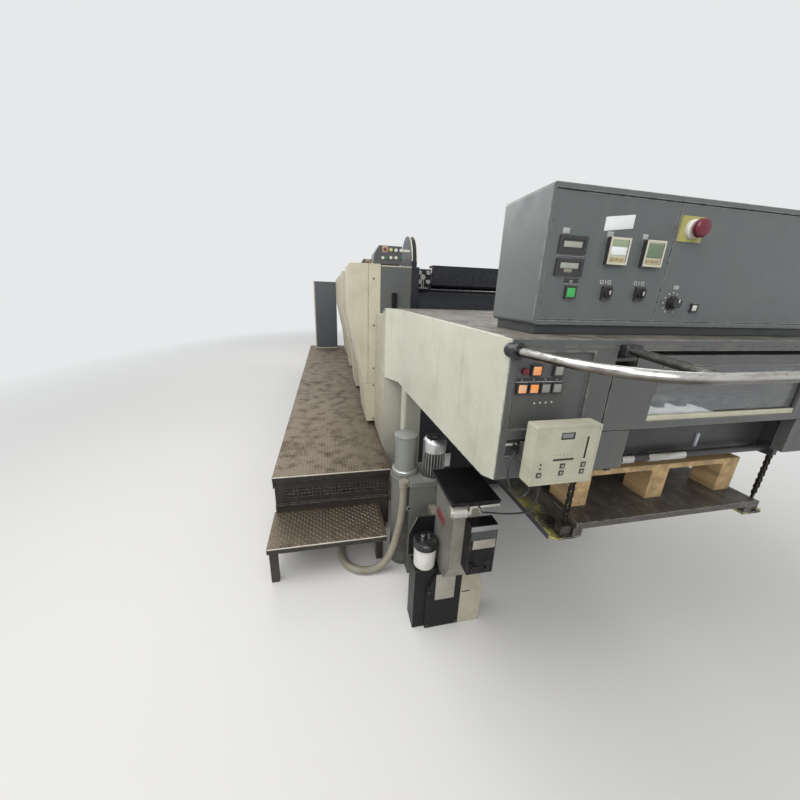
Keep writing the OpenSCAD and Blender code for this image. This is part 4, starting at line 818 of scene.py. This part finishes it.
def pallet_finish(x, y, z, n):
    """Boards with their grain across the press 0, stringers with it along the press 1, blocks 2."""
    return np.where(z > PALLET_TOP - 22.5, 0, np.where(z > PALLET_TOP - 44.5, 1, 2))


rounded("pallet", 1.5, [pine("pine boards", 0), pine("pine stringers", 1, 0.9), pine("pine blocks", 1, 0.9)],
        pallet_finish)
NAIL = ((0, -1), (3.2, -1), (3, 0.5), (0, 0.7))
nails = [turned(NAIL, (341 * i + dx, 176 + 116 * j + dy, PALLET_TOP), (0, 0, 1), 8)
         for i in (-1, 0, 1) for j in range(5) for dx, dy in ((-16, 24), (14, -22))]
piece("pallet_nails", nails, [gunmetal], body_of_node["pallet"])

# Sheet stop and inner parts of the delivery
# A black bar with a short and a long chromed sleeve. Behind it come a dark folded plate with a light
# bar on it, and the track plates with the gripper bars.
SLEEVE_ENDS = {-300: -289, -120: -243, 120: -184, 300: -32}


def move_sleeves(x, y, z):
    """Both sleeves are shifted to where the picture shows them."""
    for there, here in SLEEVE_ENDS.items():
        x = np.where(np.abs(x - there) < 0.5, here, x)
    return x, y, z


def sleeve_finish(x, y, z, n):
    """Chrome 1 on the two sleeves, black 0 elsewhere."""
    return ((np.abs(x) > 119) & (np.abs(x) < 301)).astype(int)


rounded("sheet_stop", 1, [frame_black, chromed("sleeve chrome")], sleeve_finish, move_sleeves)
fold = cases((((-356, 84, 1036), (356, 89, 1200), 1.5, 0), ((42, 78, 1074), (52, 85, 1124), 1, 1),
              ((-356, 39, 1036), (-351, 88, 1200), 1.5, 0), ((351, 39, 1036), (356, 88, 1200), 1.5, 0)))
piece("delivery_apron", fold, [paint("apron grey", (0.042, 0.044, 0.043), grime=0.4, dirt=(0.12, 0.11, 0.09)),
                               plastic("light bar", (0.45, 0.47, 0.52), 0.3)])
rounded("track_plates", 1, [paint("inner blue grey", (0.10, 0.115, 0.125), grime=0.7, low=0)])
rounded("delivery_bridge", 2, [dark])


def column_finish(x, y, z, n):
    """Black 1 for the hose's socket outside the column, cream 0 elsewhere."""
    return ((x < -835.5) & (z < 120)).astype(int)


rounded("delivery_columns", 3, [paint("column enamel", (0.45, 0.44, 0.36), grime=0.6, low=0.8),
                                plastic("hose socket", (0.02, 0.02, 0.02), 0.5, grime=0.7)], column_finish)

# Pump, filter and blower motor
# Cast grey housing under an air filter's can and a finned motor, all of it dusty and oily. The can
# is held by two steel clips, and the motor's fan cover by four screws.
PUMP_GREY, OILY_DUST = (0.185, 0.187, 0.165), (0.10, 0.08, 0.055)
OUTLET, MOTOR, HOLE = (-830, 765), (-660, 797), (-835, 620, 525)


def pump_finish(x, y, z, n):
    """Hose plastic 1 for the outlet above the hose, cast grey 0 elsewhere."""
    return ((np.hypot(x - OUTLET[0], y - OUTLET[1]) < 32) & (z > 556) & (z < 640)).astype(int)


def filter_finish(x, y, z, n):
    """Bare metal 1 for the rim below the can, enamel 0 for the can and its lid."""
    return ((z < 622) & (n[:, 2] > 0.3)).astype(int)


def motor_finish(x, y, z, n):
    """Light alloy 0; the gaps between the fins and the fan's slots 1 are painted near black as shade."""
    out = np.hypot(x - MOTOR[0], y - MOTOR[1])
    return (((z > 614) & (z < 755) & (out < 54.5)) | ((z < 823) & (z > 810) & (out < 44))).astype(int)


cast = paint("cast grey", PUMP_GREY, dirt=(0.045, 0.04, 0.03), grime=0.9, rough=0.55, low=0.9, runs=0.6)
can = paint("filter can enamel", (0.215, 0.225, 0.20), dirt=OILY_DUST, grime=0.5, rough=0.34)
alloy = metal("light alloy", (0.62, 0.63, 0.62), 0.34, dirt=(0.10, 0.09, 0.075), grime=0.6)
# Near black painted shade for the gaps between the motor's fins, its fan's slots and the floor of the housing's hole.
painted_gap_shade = plastic("oily gaps", (0.03, 0.028, 0.024), 0.4, grime=0.5)
rounded("pump_housing", 2.5, [cast, ribbed], pump_finish)
rounded("air_filter", 1.5, [can, alloy], filter_finish)
rounded("blower_motor", 1, [alloy, painted_gap_shade], motor_finish)
# A bright ring round the hole in the housing, with the hole's floor painted near black as shade.
piece("housing_hole", [(*turned(((0, -1), (12, -1), (12, 1.5), (7, 1.8), (7, 1.2)), HOLE), 0),
                       (*turned(((0, 1.4), (7.2, 1.4), (7.2, 0)), HOLE), 1)], [alloy, painted_gap_shade])
clips = [case((x - 4, 859, 786), (x + 4, 877, 822), 2) for x in (-739, -861)]
piece("filter_clips", clips, [steel])
fan_screws = [turned(SCREW_HEAD, (MOTOR[0] + 47 * np.cos(a), MOTOR[1] + 47 * np.sin(a), 826), (0, 0, 1), 12)
              for a in np.radians((45, 135, 225, 315))]
piece("fan_cover_screws", fan_screws, [gunmetal])

# Stand, tray and air unit
# A dirty stand, once cream, carries the black tray. In front of it hangs the air unit with its
# silver head and pale band, and a bright valve sits on the pipe under the tray.


def stand_finish(x, y, z, n):
    """Black 1 for the shelf plate behind the pot, a darker paint 2 on the left side that holds its stains and painted
    shade, cream 0 elsewhere.
    """
    shelf = (x < -735.5) | ((y > 506.5) & (x < -699.5) & (z > 349))
    return np.select([shelf & (n[:, 0] > -0.5), n[:, 0] < -0.5], [1, 2], 0)


grubby = paint("grubby cream", (0.33, 0.31, 0.255), dirt=(0.04, 0.033, 0.025), grime=1.0, low=0.6, runs=0.8, specks=1.5)
# The stand's left side is painted darker than its front as shade, with its stains and runs on top.
stained_and_shaded = paint("stained side", (0.17, 0.165, 0.14), dirt=(0.035, 0.03, 0.024), grime=1.0, runs=0.7)
box_cream = paint("box cream", (0.50, 0.47, 0.36), dirt=(0.12, 0.10, 0.07), grime=0.7, low=0.3)
soot = paint("sooty black", (0.007, 0.007, 0.008), dirt=(0.07, 0.06, 0.05), grime=0.25, low=0.12, rough=0.36,
             chip=(0.16, 0.15, 0.135), wear=0.25, runs=0.1, shine=0.18)
rounded("device_stand", 2, [grubby, soot, stained_and_shaded], stand_finish)
rounded("tray", 3, [soot])


def air_finish(x, y, z, n):
    """Black case 0, bright metal 1 for the valve and the pipes under the tray."""
    return (z > 735).astype(int)


silver = metal("silver head", (0.40, 0.40, 0.40), 0.35, grime=0.4)
valve = metal("bright valve", (0.62, 0.60, 0.55), 0.32, grime=0.6)
label = plastic("worn pale label", (0.34, 0.32, 0.265), 0.5, grime=0.7)
rounded("air_unit", 1, [soot, valve], air_finish)
bands = cases(((x0, y, z0), (x1, 243, z1), 0.8, kind) for x0, x1, y, z0, z1, kind in (
    (-682, -568, 238.6, 675, 698, 0), (-678, -570, 239.4, 631, 676, 1), (-668, -572, 239, 589, 631, 2),
    (-676.5, -573.5, 240, 558, 590, 3)))
piece("air_unit_bands", bands, [silver, console_grey, label, soot])
piece("stand_plate", [case((-737.5, 384, 590), (-734.5, 480, 632), 0.8)],
      [plastic("faded red plate", (0.17, 0.03, 0.03), 0.5, grime=0.8)])

# Powder pot and boxes
# A white plastic pot with a black screw lid stands on a black sheet metal box with a cut corner.
# A small cream box stands beside it.


def pot_finish(x, y, z, n):
    """White body 0, black lid 1, metal fittings 2."""
    return np.select([z > 488.5, z > 454], [2, 1], 0)


pot_white = plastic("white pot", (0.62, 0.61, 0.56), 0.4, dirt=OILY_DUST, grime=0.8)
pot_lid = plastic("pot lid", (0.010, 0.010, 0.011), 0.22, dirt=(0.10, 0.09, 0.07), specks=0.3)
rounded("powder_pot", 1, [pot_white, pot_lid, steel], pot_finish)


def box_finish(x, y, z, n):
    """Cream 1 for the small box, black 0 for the others."""
    return (x > -622.3).astype(int)


rounded("black_box", 2, [soot, box_cream], box_finish)
piece("box_label", cases((((-750, 384.8, 173), (-655, 386.4, 324), 0.6, 0),
                          ((-617, 383.8, 197), (-574, 385.8, 201.5), 0.6, 1))), [label, gunmetal])
box_screws = [turned(SCREW_HEAD, (x, 386, z), sides=12) for x, z in ((-778, 222), (-634, 333), (-634, 14), (-778, 14))]
piece("box_screws", box_screws, [gunmetal])

# Walkway, step and riser
# Folded chequer plate on angle legs. Worn bright bars cross each other on the tread, and the
# front edges are rubbed bare. The riser under the walkway has three rows of square holes.
BAR_L, BAR_W, BAR_H, BAR_PITCH = 24, 6.5, 1.3, 19
WALKWAY_TOP, STEP_TOP = 470, 230


def tread_bars(x0, x1, y0, y1, z):
    """Diamond bars with a short ridge on a square net, turned by +45 and -45 degrees in turn."""
    i, j = np.meshgrid(np.arange(x0 + 14, x1 - 12, BAR_PITCH), np.arange(y0 + 14, y1 - 12, BAR_PITCH), indexing="ij")
    row = np.arange(i.shape[0])[:, None] + np.arange(i.shape[1])[None]
    turn = np.where(row % 2, 1, -1).ravel()[:, None] * np.pi / 4
    a = np.array([-BAR_L / 2, 0, BAR_L / 2, 0, -BAR_L / 4, BAR_L / 4])
    b = np.array([0, -BAR_W / 2, 0, BAR_W / 2, 0, 0])
    x = i.ravel()[:, None] + a * np.cos(turn) - b * np.sin(turn)
    y = j.ravel()[:, None] + a * np.sin(turn) + b * np.cos(turn)
    h = np.broadcast_to(z + np.array([-0.2, -0.2, -0.2, -0.2, BAR_H, BAR_H]), x.shape)
    corner = 6 * np.arange(len(x))[:, None]
    sides = [corner + np.array(face) for face in ((0, 1, 5, 4), (2, 3, 4, 5))]
    ends = [corner + np.array(face) for face in ((1, 2, 5), (3, 0, 4))]
    return at(np.stack([x, y, h], axis=-1).reshape(-1, 3)), [face for group in sides + ends for face in group.tolist()]


def front_finish(x, y, z, n):
    """Black 1 for the turned down front and back, tread 0 elsewhere."""
    return (np.abs(n[:, 1]) > 0.5).astype(int)


riser_black = paint("grimy black riser", (0.020, 0.019, 0.018), dirt=(0.12, 0.10, 0.08), grime=0.6, low=0.3,
                    chip=(0.24, 0.22, 0.19), wear=0.45, shine=0.3)
for node in ("walkway", "step"):
    rounded(node, 1.5, [tread, riser_black], front_finish)
rubbed = metal("rubbed tread bars", (0.29, 0.25, 0.20), 0.38, dirt=(0.08, 0.065, 0.048), grime=1.0, rust=0.2)
for name, area in (
    ("near_tread_bars", (-1563, -835, 1109, 1881, WALKWAY_TOP)),
    ("far_tread_bars", (-1563, -565, 1881, 6257, WALKWAY_TOP)),
    ("step_tread_bars", (-1563, -910, 784, 1109, STEP_TOP)),
):
    piece(name, [tread_bars(*area)], [rubbed], crease=10)
worn_edge = plastic("rubbed edge", (0.56, 0.52, 0.44), 0.35, dirt=(0.10, 0.08, 0.06), grime=0.7, specks=0.6)
edges = [case((-1560, y, top - 5), (end, y + 4.6, top + 1.2), 1.2)
         for y, end, top in ((1107.4, -838, WALKWAY_TOP), (782.4, -913, STEP_TOP))]
piece("rubbed_edges", edges, [worn_edge])
rounded("riser", 0.8, [riser_black])
# A thin black sheet just behind the riser paints shade into its square holes.
piece("riser_hole_shade", [case((-1545, 1129, 300), (-850, 1130.6, 405), 0.6)], [riser_black])
rounded("walkway_legs", 1, [riser_black])

# Feeder
# Cream side covers, the sloping feed table, the suction head over the pile and the steel plate
# that carries the pile, with a grey switch cabinet on the walkway beside it.
for node, edge, finish in (("feeder_sides", 3, cream), ("feed_table", 1.5, steel), ("suction_head", 2.5, dark),
                           ("feeder_plate", 2, floor_brown)):
    rounded(node, edge, [finish])


def cabinet_finish(x, y, z, n):
    """Cream 1 on the rim round the sunk blue-grey door 0."""
    return ((y < 5881) & (n[:, 1] < -0.5)).astype(int)


rounded("feeder_cabinet", 2.5, [paint("cabinet blue grey", (0.068, 0.082, 0.088), grime=0.4), cream], cabinet_finish)

# Floor and light
# A plain pale floor under a pale sky, with two large soft lamps over the operator's side and two
# weaker ones over the feeder and the drive side.
floor_mesh = bpy.data.meshes.new("floor")
floor_mesh.from_pydata([(-60, -60, 0), (60, -60, 0), (60, 60, 0), (-60, 60, 0)], [], [(0, 1, 2, 3)])
floor = bpy.data.objects.new("floor", floor_mesh)
bpy.context.collection.objects.link(floor)
pale_floor = Finish("floor", 0.8)
floor_mesh.materials.append(pale_floor.done((0.62, 0.61, 0.59)))
world = bpy.data.worlds.new("studio")
bpy.context.scene.world = world
world.use_nodes = True
tree = world.node_tree
sky = tree.nodes["Background"]
sky.inputs["Color"].default_value = (0.95, 0.97, 1, 1)
sky.inputs["Strength"].default_value = 0.45
seen = tree.nodes.new("ShaderNodeBackground")
seen.inputs["Color"].default_value = (0.80, 0.81, 0.82, 1)
pick = tree.nodes.new("ShaderNodeMixShader")


def rays_to_eye(tree):
    """1 for camera, glossy and transmission rays, 0 for the rays that light the press."""
    rays = tree.nodes.new("ShaderNodeLightPath")
    shown = rays.outputs["Is Camera Ray"]
    for ray in ("Is Glossy Ray", "Is Transmission Ray"):
        either = tree.nodes.new("ShaderNodeMath")
        either.operation = "MAXIMUM"
        tree.links.new(shown, either.inputs[0])
        tree.links.new(rays.outputs[ray], either.inputs[1])
        shown = either.outputs[0]
    return shown


tree.links.new(rays_to_eye(tree), pick.inputs[0])
tree.links.new(sky.outputs[0], pick.inputs[1])
tree.links.new(seen.outputs[0], pick.inputs[2])
tree.links.new(pick.outputs[0], tree.nodes["World Output"].inputs["Surface"])
# Far from the press the floor turns into the background, so that no dark horizon shows.
reach = pale_floor.node("ShaderNodeVectorMath", operation="LENGTH")
pale_floor.put(reach.inputs[0], pale_floor.where((1, 0.6, 0)))
away = pale_floor.sum("MULTIPLY", pale_floor.ramp(reach.outputs["Value"], 2.8, 6.2), rays_to_eye(pale_floor.tree))
haze = pale_floor.node("ShaderNodeEmission")
haze.inputs["Color"].default_value = seen.inputs["Color"].default_value
fade = pale_floor.node("ShaderNodeMixShader")
for socket, value in zip(fade.inputs, (away, pale_floor.out.outputs[0], haze.outputs[0])):
    pale_floor.put(socket, value)
pale_floor.put(pale_floor.tree.nodes["Material Output"].inputs["Surface"], fade.outputs[0])
for name, spot, aim, size, power in (
    ("ceiling light", (-2500, 500, 4200), (0, 2500, 500), 4.0, 165),
    ("end light", (-1500, -3500, 3200), (0, 500, 900), 3.0, 86),
    ("feeder light", (-2600, 7500, 4600), (-300, 5500, 600), 4.0, 150),
    ("drive side light", (4200, 4200, 4800), (500, 3800, 600), 4.0, 150),
):
    lamp = bpy.data.objects.new(name, bpy.data.lights.new(name, "AREA"))
    lamp.data.size = size
    lamp.data.energy = power
    lamp.location = at(spot)[0]
    lamp.rotation_euler = (Vector(at(aim)[0]) - lamp.location).to_track_quat("-Z", "Y").to_euler()
    bpy.context.collection.objects.link(lamp)
bpy.context.scene.view_settings.view_transform = "Standard"
